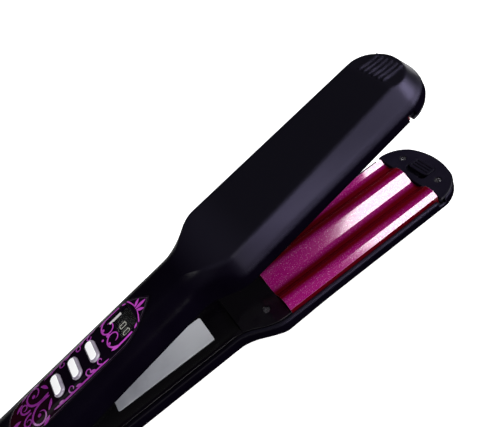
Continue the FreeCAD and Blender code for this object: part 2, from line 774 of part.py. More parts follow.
def heel_cover(name):
    start, end = mm("step_x") + mm("heel_gap"), mm("plate_start") - mm("heel_gap")
    cover = plan_prism(mm("wall") + mm("fit"), start, end, mm("heel_inner"), mm("heel_seat"))
    return put_shape(name, cover.cut(screw_holes(screw_places()[:2], mm("heel_inner"))))


def handle_cover(name):
    """Inner cover of the handle: two rims that stand on the shell's ledge and a curved trough between."""
    start, end = mm("cover_start"), mm("step_x")
    inner, seat = mm("cover_inner"), mm("cover_seat")
    shape = plan_prism(mm("wall") + mm("fit"), start, end, inner, seat)
    wires = []
    deep = []
    over = mm("overcut")
    for x in (start - over, end + over):
        half = trough_half(min(x, mm("neck_x")))
        wires.append(trough_wire(x, half, 0.0, inner - over, inner))
        deep.append(trough_wire(x, half, mm("cover_wall"), seat + over, inner))
    shape = shape.cut(Part.makeLoft(wires, True, True))
    return put_shape(name, shape.cut(Part.makeLoft(deep, True, True)))


def trough_half(x):
    """Half width of the trough between the cover's rims at a station."""
    return handle_half(x) - mm("wall") - mm("fit") - mm("cover_rim")


def trough_wire(x, half, lift, level, inner):
    """Section between a level line and the trough's arc, the arc raised by lift."""
    left = FreeCAD.Vector(x, -half + lift, inner + lift)
    right = FreeCAD.Vector(x, half - lift, inner + lift)
    bottom = FreeCAD.Vector(x, 0, inner + lift + mm("trough_depth"))
    left_level = FreeCAD.Vector(x, left.y, level)
    right_level = FreeCAD.Vector(x, right.y, level)
    arc = Part.Arc(left, bottom, right).toShape()
    return Part.Wire([Part.makeLine(left_level, left), arc, Part.makeLine(right, right_level),
                      Part.makeLine(right_level, left_level)])


def rating_plate(name):
    """Bare metal plate bent to the trough's curve."""
    inner, depth = mm("cover_inner"), mm("trough_depth")
    wires = []
    for station in (mm("label_start"), mm("label_end")):
        half = trough_half(station)
        radius = (half ** 2 + depth ** 2) / (2 * depth)
        centre = inner + depth - radius
        reach = math.asin(mm("label_half") / radius)
        wires.append(arc_strip(station, centre, radius, radius - mm("label_thick"), reach))
    return put_shape(name, Part.makeLoft(wires, True, True))


def arc_strip(x, centre, outer, inner, reach):
    """Section of a bent strip between two radii about a centre height, reach either side."""
    def spot(radius, angle):
        return FreeCAD.Vector(x, radius * math.sin(angle), centre + radius * math.cos(angle))
    return Part.Wire([
        Part.Arc(spot(outer, -reach), spot(outer, 0), spot(outer, reach)).toShape(),
        Part.makeLine(spot(outer, reach), spot(inner, reach)),
        Part.Arc(spot(inner, reach), spot(inner, 0), spot(inner, -reach)).toShape(),
        Part.makeLine(spot(inner, -reach), spot(outer, -reach)),
    ])


def plate_carrier(name):
    """Heat-proof tray under the plate, resting on the shell's ledge, with a window for the heater."""
    low, fit = mm("plate_back"), mm("fit")
    start, end = mm("heel_x") - mm("wall") + fit, mm("cap_start") - mm("heel_gap")
    tray = plan_prism(mm("wall") + fit, start, end, low, low + mm("carrier_thick"))
    middle = (mm("plate_start") + mm("plate_end")) / 2
    half_x, half_y = mm("heater_length") / 2 + fit, mm("heater_half") + fit
    window = block(middle - half_x, middle + half_x, -half_y, half_y, 0, mm("head_top"))
    return put_shape(name, tray.cut(window))


# ---- pieces drawn as sketches and pads

def wavy_plate(name):
    """Heated plate: two waves of flat flanks and round crests, a flat back and a tongue at the heel."""
    body = new_body(name)
    half, height, flank = size("plate_half"), size("wave_height"), size("flank_half")
    middle, back = size("plate_gap"), size("plate_back")
    profile = new_sketch(body, name + "_profile", "YZ_Plane", size("plate_start"))
    corners = [(-half, middle)]
    for k in range(4):
        way = 1 if k % 2 == 0 else -1
        level, crest = middle + size("flank_height") * way, middle + height * way
        corners.append((half * (k - 2) * 0.5 + flank, level))
        corners.append((half * (k - 1) * 0.5 - flank, level, (half * (k - 1.5) * 0.5, crest)))
    corners += [(half, middle), (half, back), (-half, back)]
    draw_outline(profile, corners)
    add_pad(body, profile, size("plate_end") - size("plate_start"))
    tongue = new_sketch(body, name + "_tongue", "XY_Plane", size("tongue_z"))
    tongue_start, tongue_end = size("plate_start") - size("plate_tongue"), size("plate_start") + size("wall")
    draw_outline(tongue, rectangle(tongue_start, tongue_end, size("plate_half") - size("plate_tongue")))
    add_pad(body, tongue, size("plate_back") - size("tongue_z"))
    keyhole_low = size("cap_inner") + size("lock_depth") - size("slide_fit") * 2
    keyhole = new_sketch(body, name + "_keyhole", "XY_Plane", keyhole_low)
    keyhole_start = size("plate_end") - size("lock_travel") - size("slide_fit") * 3
    keyhole_half = size("lock_stem_half") + size("slide_fit")
    draw_outline(keyhole, rectangle(keyhole_start, size("plate_end"), keyhole_half))
    add_pocket(body, keyhole, size("plate_back") - keyhole_low)
    return body


def simple_pad(name, corners, offset, length):
    body = new_body(name)
    sketch = new_sketch(body, name + "_outline", "XY_Plane", offset)
    draw_outline(sketch, corners)
    add_pad(body, sketch, length)
    return body


def heater(name):
    middle = (size("plate_start") + size("plate_end")) / 2
    half = size("heater_length") / 2
    outline = rectangle(middle - half, middle + half, size("heater_half"))
    return simple_pad(name, outline, size("plate_back"), size("heater_thick"))


def plate_lock(name):
    """Sliding lock: a grooved thumb pad in the cap's slot and a stem that runs on into the plate."""
    body = new_body(name)
    low = size("cap_inner") - size("lock_proud")
    front, back = size("lock_x") + size("lock_length") / 2, size("lock_x") - size("lock_length") / 2
    pad = new_sketch(body, name + "_pad", "XY_Plane", low)
    draw_outline(pad, rectangle(back, front, size("lock_half")))
    add_pad(body, pad, size("lock_depth") + size("lock_proud") - size("slide_fit"))
    round_uprights(body, size("lock_half") / 3)
    stem_low = size("cap_inner") + size("lock_depth") - size("slide_fit")
    stem = new_sketch(body, name + "_stem", "XY_Plane", stem_low)
    stem_start, stem_end = size("plate_end") - size("heel_gap"), front - size("slide_fit")
    draw_outline(stem, rectangle(stem_start, stem_end, size("lock_stem_half")))
    add_pad(body, stem, size("cap_plug") - stem_low - size("slide_fit") * 2)
    count, width = int(mm("lock_grooves")), size("lock_groove")
    for k in range(count):
        groove = new_sketch(body, f"{name}_groove{k}", "XY_Plane", low - width)
        middle = size("lock_x") + size("lock_length") * ((k - (count - 1) / 2) / (count + 1))
        draw_outline(groove, rectangle(middle - width, middle + width, size("lock_half") - width * 3))
        add_pocket(body, groove, width * 2)
    return body


def screws(name, places, face):
    """Pan-head screws, as separate solids of one node: head in the cover, shank in the boss."""
    solids = []
    for x, y, seat_z in places:
        head = rod(mm("screw_head"), (x, y, face), (x, y, face + mm("screw_head_thick")))
        shank = rod(mm("screw_shank"), (x, y, face), (x, y, seat_z + mm("screw_length")))
        solids.append(head.fuse(shank))
    return put_shape(name, Part.makeCompound(solids))


def flange_stop(x):
    """Flat underside of the shell above a key's flange."""
    return crown_height(x) - mm("wall") - mm("ledge")


def button(name, x):
    """Oblong key with a flange under the shell that keeps it in."""
    floor = flange_stop(x)
    low, high = floor - mm("button_travel"), crown_height(x) + mm("button_proud")
    key = stadium(x, mm("button_reach"), mm("button_half"), low, high).removeSplitter()
    top = [e for e in key.Edges if e.BoundBox.ZMin > high - 1e-6]
    key = key.makeFillet(mm("button_half") / 3, top)
    grow = mm("button_flange")
    flange = stadium(x, mm("button_reach") + grow, mm("button_half") + grow,
                     low - mm("button_flange_thick"), floor - mm("button_travel") / 2)
    return put_shape(name, key.fuse(flange))


def flange_floor(x):
    """Underside of a key at rest."""
    return flange_stop(x) - mm("button_flange_thick") - mm("button_travel")


def board_start():
    """Rear end of the board, behind the last key."""
    return size("button_first") - size("button_pitch") * (size("button_count") - 1) - size("board_rear")


def control_board(name):
    outline = rectangle(board_start(), size("board_end"), size("board_half"))
    return simple_pad(name, outline, size("board_z") - size("board_thick"), size("board_thick"))


def key_switches(name):
    """One click switch on the board under each key."""
    half = mm("switch_size") / 2
    solids = []
    for x in button_places():
        top = flange_floor(x) - mm("button_travel")
        solids.append(block(x - half, x + half, -half, half, mm("board_z"), top))
    return put_shape(name, Part.makeCompound(solids))


def display_module(name):
    """Display glass standing on the board right under its window."""
    half_x = mm("window_length") / 2 - mm("panel_fit")
    half_y = mm("window_half") - mm("panel_fit")
    x = mm("window_x")
    top = crown_height(x) - mm("window_thick") - mm("display_thick") / 2
    return put_shape(name, block(x - half_x, x + half_x, -half_y, half_y, mm("board_z"), top))


def hinge_pin(name):
    reach = mm("knuckle_half") + mm("washer_thick") + 2 * mm("washer_fit") + mm("ear_width")
    pin = doc.addObject("Part::Cylinder", name)
    pin.Label = name
    bind(pin, "Radius", size("pin_radius"))
    length = 2 * (size("knuckle_half") + size("washer_thick") + size("washer_fit") * 2 + size("ear_width"))
    bind(pin, "Height", length)
    along_y = FreeCAD.Rotation(FreeCAD.Vector(1, 0, 0), 90)
    pin.Placement = FreeCAD.Placement(FreeCAD.Vector(0, reach, 0), along_y)
    return pin


def hinge_washers(name):
    solids = []
    low = mm("knuckle_half") + mm("washer_fit")
    for side in (-1, 1):
        start, end = (0, side * low, 0), (0, side * (low + mm("washer_thick")), 0)
        hole = rod(mm("pin_radius") + mm("pin_fit"), start, end)
        solids.append(rod(mm("washer_radius"), start, end).cut(hole))
    return put_shape(name, Part.makeCompound(solids))


def hinge_spring(name):
    """Jaw spring of six-sided wire, wound round the pin inside the upper arm's barrel."""
    reach = mm("knuckle_half") - mm("spring_end") - mm("spring_wire") * 1.5
    helix = Part.makeHelix(2 * reach / mm("spring_turns"), 2 * reach, mm("spring_radius"))
    corners = []
    for k in range(7):
        angle = math.pi / 3 * k
        out = mm("spring_radius") + mm("spring_wire") * math.cos(angle)
        corners.append(FreeCAD.Vector(out, 0, mm("spring_wire") * math.sin(angle)))
    coil = Part.Wire(helix.Edges).makePipeShell([Part.makePolygon(corners)], True, True)
    coil.rotate(FreeCAD.Vector(), FreeCAD.Vector(1, 0, 0), 90)
    coil.translate(FreeCAD.Vector(0, reach, 0))
    return put_shape(name, coil)


def cord_gland(name):
    """Swivel gland: a collar outside the tail, a neck in its bore and a lip behind the wall."""
    tail = -mm("tail_x")
    inner = tail + mm("wall") + mm("ledge")
    gap, z = mm("gland_gap"), mm("gland_z")
    collar_end = tail - gap
    length = mm("gland_collar_length")
    collar = Part.makeCone(mm("gland_collar") - mm("gland_taper"), mm("gland_collar"), length,
                           FreeCAD.Vector(collar_end - length, 0, z), FreeCAD.Vector(1, 0, 0))
    lip_start, lip_end = inner + gap, inner + gap + mm("gland_lip_length")
    neck = rod(mm("gland_radius"), (collar_end, 0, z), (lip_end, 0, z))
    lip = rod(mm("gland_radius") + mm("gland_lip"), (lip_start, 0, z), (lip_end, 0, z))
    bore = rod(mm("gland_bore"), (collar_end - 2 * length, 0, z), (0, 0, z))
    return put_shape(name, collar.fuse([neck, lip]).cut(bore))


# ---- the two arms and where they stand

def arm_pieces(arm, upper):
    return [
        arm_shell(f"{arm}_shell", upper),
        handle_cover(f"{arm}_handle_cover"),
        heel_cover(f"{arm}_heel_cover"),
        screws(f"{arm}_heel_screws", screw_places()[:2], mm("heel_inner")),
        wavy_plate(f"{arm}_plate"),
        plate_carrier(f"{arm}_plate_carrier"),
        heater(f"{arm}_heater"),
        tip_cap(f"{arm}_tip_cap"),
        screws(f"{arm}_cap_screws", screw_places()[2:], mm("cap_inner")),
        plate_lock(f"{arm}_plate_lock"),
    ]


def control_pieces():
    keys = [button(f"button_{word}", x) for word, x in zip(("plus", "minus", "power"), button_places())]
    return [
        control_panel("control_panel"),
        display_window("display_window"),
        display_module("display_module"),
        control_board("control_board"),
        key_switches("key_switches"),
    ] + keys


lower = arm_pieces("lower", False) + [rating_plate("rating_plate"), cord_gland("cord_gland")]
upper = arm_pieces("upper", True) + control_pieces()
hinge = [hinge_pin("hinge_pin"), hinge_washers("hinge_washers"), hinge_spring("hinge_spring")]

# origin of the part: under the middle of its length, on the surface that the lower arm lies on
rear = mm("tail_x") + mm("gland_gap") + mm("gland_collar_length")
shift = FreeCAD.Placement(FreeCAD.Vector((rear - mm("tip_x")) / 2, 0, mm("head_top")), FreeCAD.Rotation())
turn_over = FreeCAD.Placement(FreeCAD.Vector(), FreeCAD.Rotation(FreeCAD.Vector(1, 0, 0), 180))
open_up = FreeCAD.Placement(FreeCAD.Vector(), FreeCAD.Rotation(FreeCAD.Vector(0, 1, 0), -mm("opening")))
for piece in lower:
    piece.Placement = shift * turn_over * piece.Placement
for piece in upper:
    piece.Placement = shift * open_up * piece.Placement
for piece in hinge:
    piece.Placement = shift * piece.Placement

doc.recompute()
for item in doc.Objects:
    if "Invalid" in item.State or "Error" in item.State:
        raise RuntimeError(f"{item.Name} did not rebuild")

os.makedirs("parts", exist_ok=True)
for piece in lower + upper + hinge:
    if piece.Shape.isNull() or not piece.Shape.isValid():
        raise RuntimeError(f"{piece.Label} has no valid solid")
    piece.Shape.exportStep(os.path.join("parts", piece.Label + ".step"))
    print(piece.Label, len(piece.Shape.Solids), round(piece.Shape.Volume, 1))
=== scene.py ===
import json
import math
import bmesh
import bpy
import numpy as np
from mathutils import Matrix, Vector


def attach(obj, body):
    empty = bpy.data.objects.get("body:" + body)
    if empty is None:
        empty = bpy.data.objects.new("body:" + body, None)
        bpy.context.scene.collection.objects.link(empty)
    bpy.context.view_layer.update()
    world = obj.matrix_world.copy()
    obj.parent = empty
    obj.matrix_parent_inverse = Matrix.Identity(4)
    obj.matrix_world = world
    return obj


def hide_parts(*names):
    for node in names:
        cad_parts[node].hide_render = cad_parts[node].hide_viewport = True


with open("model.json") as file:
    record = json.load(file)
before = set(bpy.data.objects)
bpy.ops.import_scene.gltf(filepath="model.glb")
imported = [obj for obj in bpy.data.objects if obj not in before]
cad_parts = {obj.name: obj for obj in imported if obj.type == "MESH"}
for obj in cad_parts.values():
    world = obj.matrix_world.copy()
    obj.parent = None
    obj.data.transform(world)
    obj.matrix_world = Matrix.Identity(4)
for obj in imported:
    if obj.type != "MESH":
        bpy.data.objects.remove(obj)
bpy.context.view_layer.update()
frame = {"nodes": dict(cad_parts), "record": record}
nodes = frame["nodes"]
print("frame loaded:", len(nodes), "nodes")

# where things are: each arm has its own frame in millimetres, tip to +X, outer face to +Z

arm = {
    "opening": math.radians(13.4),              # angle between the arms
    "hinge": Vector((-0.1239, 0.0, 0.0168)),    # metres, in the frame of the whole object
    "tailX": -12.0, "neckX": 118.0, "tailHalf": 20.0, "neckHalf": 17.0,
    "tailTop": 16.8, "neckTop": 16.0, "sideZ": 5.0, "crownHalf": 5.5,
    "bow": 0.5523, "halvings": 22,              # pull of the crown's curve, and steps that solve it
}
turnUp = Matrix.Translation(arm["hinge"]) @ Matrix.Rotation(-arm["opening"], 4, "Y")
turnOver = Matrix.Translation(arm["hinge"]) @ Matrix.Rotation(math.pi, 4, "X")


def placed(points, turn):
    # millimetres of an arm's frame to metres of the whole object
    move = np.array(turn)
    return np.asarray(points, float) / 1000.0 @ move[:3, :3].T + move[:3, 3]


def handleAt(x):
    # share of the way from the handle's tail to its neck, and the handle's half width there
    along = (x - arm["tailX"]) / (arm["neckX"] - arm["tailX"])
    return along, arm["tailHalf"] + (arm["neckHalf"] - arm["tailHalf"]) * along


def crownHeight(x, y):
    # height of the handle's back: flat to crownHalf, then a cubic down to the flank, solved by halving
    along, half = handleAt(x)
    top = arm["tailTop"] + (arm["neckTop"] - arm["tailTop"]) * along
    flat, side = arm["crownHalf"], arm["sideZ"]
    roundTop = flat + (half - flat) * arm["bow"]
    roundSide = side + (top - side) * arm["bow"]
    low, high = np.zeros_like(y), np.ones_like(y)
    for _ in range(arm["halvings"]):
        t = (low + high) / 2
        width = flat * (1 - t) ** 3 + 3 * roundTop * t * (1 - t) ** 2
        width = width + half * (3 * t * t * (1 - t) + t ** 3)
        low, high = np.where(width < np.abs(y), t, low), np.where(width < np.abs(y), high, t)
    fall = top * ((1 - t) ** 3 + 3 * t * (1 - t) ** 2) + 3 * roundSide * t * t * (1 - t) + side * t ** 3
    return np.where(np.abs(y) <= flat, top, fall)


def crownAt(x):
    # height of the handle's back on its middle line
    return float(crownHeight(np.array([x]), np.array([0.0]))[0])


# meshes from grids of points

# widest gap welded and shortest edge kept, in metres; most edges of a hole; degrees of a crease
meshing = {"weld": 2e-7, "sliver": 1e-8, "holeSides": 400, "sharp": 32.0}


def gridQuads(rows, cols, start, around):
    # four corners of every cell of a grid, which closes on itself when it runs around
    ids = start + np.arange(rows * cols).reshape(rows, cols)
    here = ids if around else ids[:, :-1]
    beside = np.roll(ids, -1, axis=1) if around else ids[:, 1:]
    return np.stack([here[:-1], beside[:-1], beside[1:], here[1:]], axis=-1).reshape(-1, 4)


def makePiece(name, grids, body, finishes, replaced=(), sharp=meshing["sharp"]):
    # one object from grids in metres, each with its points, whether it runs around, and its rows' finishes
    spots, quads, marks, start = [], [], [], 0
    for points, around, finish in grids:
        rows, cols = points.shape[:2]
        cells = gridQuads(rows, cols, start, around)
        spots.append(points.reshape(-1, 3))
        quads.append(cells)
        marks.append(np.repeat(np.broadcast_to(finish, rows - 1), len(cells) // (rows - 1)))
        start += rows * cols
    mesh = bpy.data.meshes.new(name)
    mesh.from_pydata(np.concatenate(spots).tolist(), [], np.concatenate(quads).tolist())
    for finish in finishes:
        mesh.materials.append(materials[finish])
    mesh.polygons.foreach_set("material_index", np.concatenate(marks).astype(np.int32))
    work = bmesh.new()
    work.from_mesh(mesh)
    bmesh.ops.remove_doubles(work, verts=work.verts, dist=meshing["weld"])
    bmesh.ops.dissolve_degenerate(work, edges=work.edges, dist=meshing["sliver"])
    bmesh.ops.holes_fill(work, edges=work.edges, sides=meshing["holeSides"])
    bmesh.ops.recalc_face_normals(work, faces=work.faces)
    work.to_mesh(mesh)
    work.free()
    mesh.shade_smooth()
    mesh.set_sharp_from_angle(angle=math.radians(sharp))
    piece = bpy.data.objects.new(name, mesh)
    bpy.context.collection.objects.link(piece)
    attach(piece, body)
    if replaced:
        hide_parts(*replaced)
    return piece


# materials: effects that several of them use are node groups

noise = {
    "fineDetail": 2.0, "fineRough": 0.6, "slowDetail": 3.0, "slowRough": 0.55,
    "span": (0.3, 0.7),                         # where the noises' values mostly lie
    "bevelSamples": 6, "rimSpan": (0.995, 0.90),    # the rounded normal against the plain one
}


def nodeGroup(name, inputs, outputs):
    # a shader node group with named inputs and outputs
    group = bpy.data.node_groups.new(name, "ShaderNodeTree")
    for label, kind, value in inputs:
        socket = group.interface.new_socket(label, in_out="INPUT", socket_type=kind)
        socket.default_value = value
    for label, kind in outputs:
        group.interface.new_socket(label, in_out="OUTPUT", socket_type=kind)
    start = group.nodes.new("NodeGroupInput")
    end = group.nodes.new("NodeGroupOutput")
    return group, start, end


def put(tree, kind, **values):
    # a node whose settings and sockets are given by name
    node = tree.nodes.new(kind)
    for key, value in values.items():
        if key in node.bl_rna.properties:
            setattr(node, key, value)
        else:
            node.inputs[key.replace("_", " ")].default_value = value
    return node


def tone(colour):
    return (*colour, 1)


def join(tree, source, target):
    # a socket, a plain number or a plain colour into a socket
    if isinstance(source, tuple):
        target.default_value = tone(source)
    elif isinstance(source, float):
        target.default_value = source
    else:
        tree.links.new(source, target)


def ramp(tree, source, span, low=0.0, high=1.0, kind="LINEAR"):
    # how far a value has come through a span, as a number from low to high
    node = put(tree, "ShaderNodeMapRange", To_Min=low, To_Max=high, interpolation_type=kind)
    join(tree, source, node.inputs["Value"])
    join(tree, span[0], node.inputs["From Min"])
    join(tree, span[1], node.inputs["From Max"])
    return node.outputs["Result"]


def combined(tree, first, second, operation="MULTIPLY"):
    # two values multiplied, or put through another operation
    node = put(tree, "ShaderNodeMath", operation=operation)
    join(tree, first, node.inputs[0])
    join(tree, second, node.inputs[1])
    return node.outputs["Value"]


def mix(tree, share, first, second, kind="RGBA"):
    # a colour between two by a share, or a number between two when the kind is FLOAT
    node = put(tree, "ShaderNodeMix", data_type=kind)
    join(tree, share, node.inputs["Factor"])
    join(tree, first, node.inputs["A"])
    join(tree, second, node.inputs["B"])
    return node.outputs["Result"]


def makeGrain():
    # fine moulded grain and slow blotches from two noises on object coordinates
    group, start, end = nodeGroup(
        "mouldedGrain",
        [("Scale", "NodeSocketFloat", 2500.0), ("Blotch Scale", "NodeSocketFloat", 60.0)],
        [("Height", "NodeSocketFloat"), ("Blotch", "NodeSocketFloat")])
    coord = put(group, "ShaderNodeTexCoord")
    fine = put(group, "ShaderNodeTexNoise", Detail=noise["fineDetail"], Roughness=noise["fineRough"])
    slow = put(group, "ShaderNodeTexNoise", Detail=noise["slowDetail"], Roughness=noise["slowRough"])
    for node, scale, result in ((fine, "Scale", "Height"), (slow, "Blotch Scale", "Blotch")):
        join(group, coord.outputs["Object"], node.inputs["Vector"])
        join(group, start.outputs[scale], node.inputs["Scale"])
        join(group, node.outputs["Fac"], end.inputs[result])
    return group


def makeEdge():
    # a rounded normal where two faces meet, and a mask of the rims that wear
    group, start, end = nodeGroup(
        "softEdge",
        [("Radius", "NodeSocketFloat", 0.0005), ("Wear", "NodeSocketFloat", 0.5)],
        [("Normal", "NodeSocketVector"), ("Rim", "NodeSocketFloat")])
    bevel = put(group, "ShaderNodeBevel", samples=noise["bevelSamples"])
    geometry = put(group, "ShaderNodeNewGeometry")
    dot = put(group, "ShaderNodeVectorMath", operation="DOT_PRODUCT")
    join(group, start.outputs["Radius"], bevel.inputs["Radius"])
    join(group, bevel.outputs["Normal"], dot.inputs[0])
    join(group, geometry.outputs["Normal"], dot.inputs[1])
    rim = ramp(group, dot.outputs["Value"], noise["rimSpan"])
    join(group, bevel.outputs["Normal"], end.inputs["Normal"])
    join(group, combined(group, rim, start.outputs["Wear"]), end.inputs["Rim"])
    return group


def makeShare(name, part, span, inputs=()):
    # how far one part of a vector has come through a span: of a given normal, or of the object coordinates
    group, start, end = nodeGroup(
        name,
        [*inputs, ("From", "NodeSocketFloat", span[0]), ("To", "NodeSocketFloat", span[1])],
        [("Share", "NodeSocketFloat")])
    vector = start.outputs["Normal"] if inputs else put(group, "ShaderNodeTexCoord").outputs["Object"]
    split = put(group, "ShaderNodeSeparateXYZ")
    join(group, vector, split.inputs[0])
    ends = start.outputs["From"], start.outputs["To"]
    join(group, ramp(group, split.outputs[part], ends, kind="SMOOTHSTEP"), end.inputs["Share"])
    return group


grainGroup = makeGrain()
edgeGroup = makeEdge()
runGroup = makeShare("alongArm", "X", (-0.1, 0.1))
upGroup = makeShare("leansUp", "Z", (0.3, 0.6), [("Normal", "NodeSocketVector", (0, 0, 1))])


def useGroup(tree, group, **values):
    # a group as a node, with its inputs given by name
    node = tree.nodes.new("ShaderNodeGroup")
    node.node_tree = group
    for key, value in values.items():
        node.inputs[key.replace("_", " ")].default_value = value
    return node


def alongArm(tree, span):
    # how far a point lies between two stations of the part, in metres
    return useGroup(tree, runGroup, From=span[0], To=span[1]).outputs["Share"]


def newMaterial(name, look):
    # a material whose plain settings come from its look
    material = bpy.data.materials.new(name)
    material.use_nodes = True
    tree = material.node_tree
    shader = tree.nodes["Principled BSDF"]
    sockets = {"metallic": "Metallic", "specular": "Specular IOR Level", "coatRough": "Coat Roughness",
               "coatIndex": "Coat IOR", "glow": "Emission Color", "glowStrength": "Emission Strength"}
    for key, socket in sockets.items():
        if key in look:
            join(tree, look[key], shader.inputs[socket])
    return material, tree, shader


def addBump(tree, shader, height, normal, look):
    bump = put(tree, "ShaderNodeBump", Strength=look["bump"], Distance=look["grainDepth"])
    join(tree, height, bump.inputs["Height"])
    join(tree, normal, bump.inputs["Normal"])
    join(tree, bump.outputs["Normal"], shader.inputs["Normal"])


def addPaintedSheen(tree, shader, look, normal, colour):
    # on the head, faces that lean upward get a painted sheen: a paler tone, partly metallic, that takes the
    # light of the softboxes
    up = useGroup(tree, upGroup, From=look["litFrom"], To=look["litTo"])
    join(tree, normal, up.inputs["Normal"])
    head = alongArm(tree, look["litHead"])
    paintedSheen = combined(tree, up.outputs["Share"], head)
    join(tree, combined(tree, paintedSheen, look["litMetal"]), shader.inputs["Metallic"])
    # the polished handle has a clear coat on its back instead
    coat = ramp(tree, head, (0.0, 1.0), look["handleCoat"], 0.0)
    join(tree, combined(tree, up.outputs["Share"], coat), shader.inputs["Coat Weight"])
    return mix(tree, paintedSheen, colour, look["lit"])


def surface(name, look):
    # two close tones in blotches, rubbed rims, roughness that varies, grain in the normal, softened edges
    material, tree, shader = newMaterial(name, look)
    grain = useGroup(tree, grainGroup, Scale=look["grainScale"], Blotch_Scale=look["blotchScale"])
    edge = useGroup(tree, edgeGroup, Radius=look["edge"], Wear=look["wear"])
    blotch, normal = grain.outputs["Blotch"], edge.outputs["Normal"]
    colour = mix(tree, ramp(tree, blotch, noise["span"]), look["dark"], look["light"])
    if "run" in look:
        colour = mix(tree, alongArm(tree, look["run"]), colour, look["far"])
    colour = mix(tree, edge.outputs["Rim"], colour, look["rubbed"])
    if "lit" in look:
        # painted sheen: the head's faces that lean upward turn paler
        colour = addPaintedSheen(tree, shader, look, normal, colour)
    join(tree, colour, shader.inputs["Base Color"])
    roughness = ramp(tree, blotch, noise["span"], *look["rough"])
    if "farRough" in look:
        roughness = mix(tree, alongArm(tree, look["roughRun"]), roughness, look["farRough"], "FLOAT")
    join(tree, roughness, shader.inputs["Roughness"])
    addBump(tree, shader, grain.outputs["Height"], normal, look)
    return material


# tones and roughness have a low and a high end, lengths are in metres and scales in turns per metre;
# run, roughRun and litHead are spans along the arm, over which a look changes to far, farRough or lit

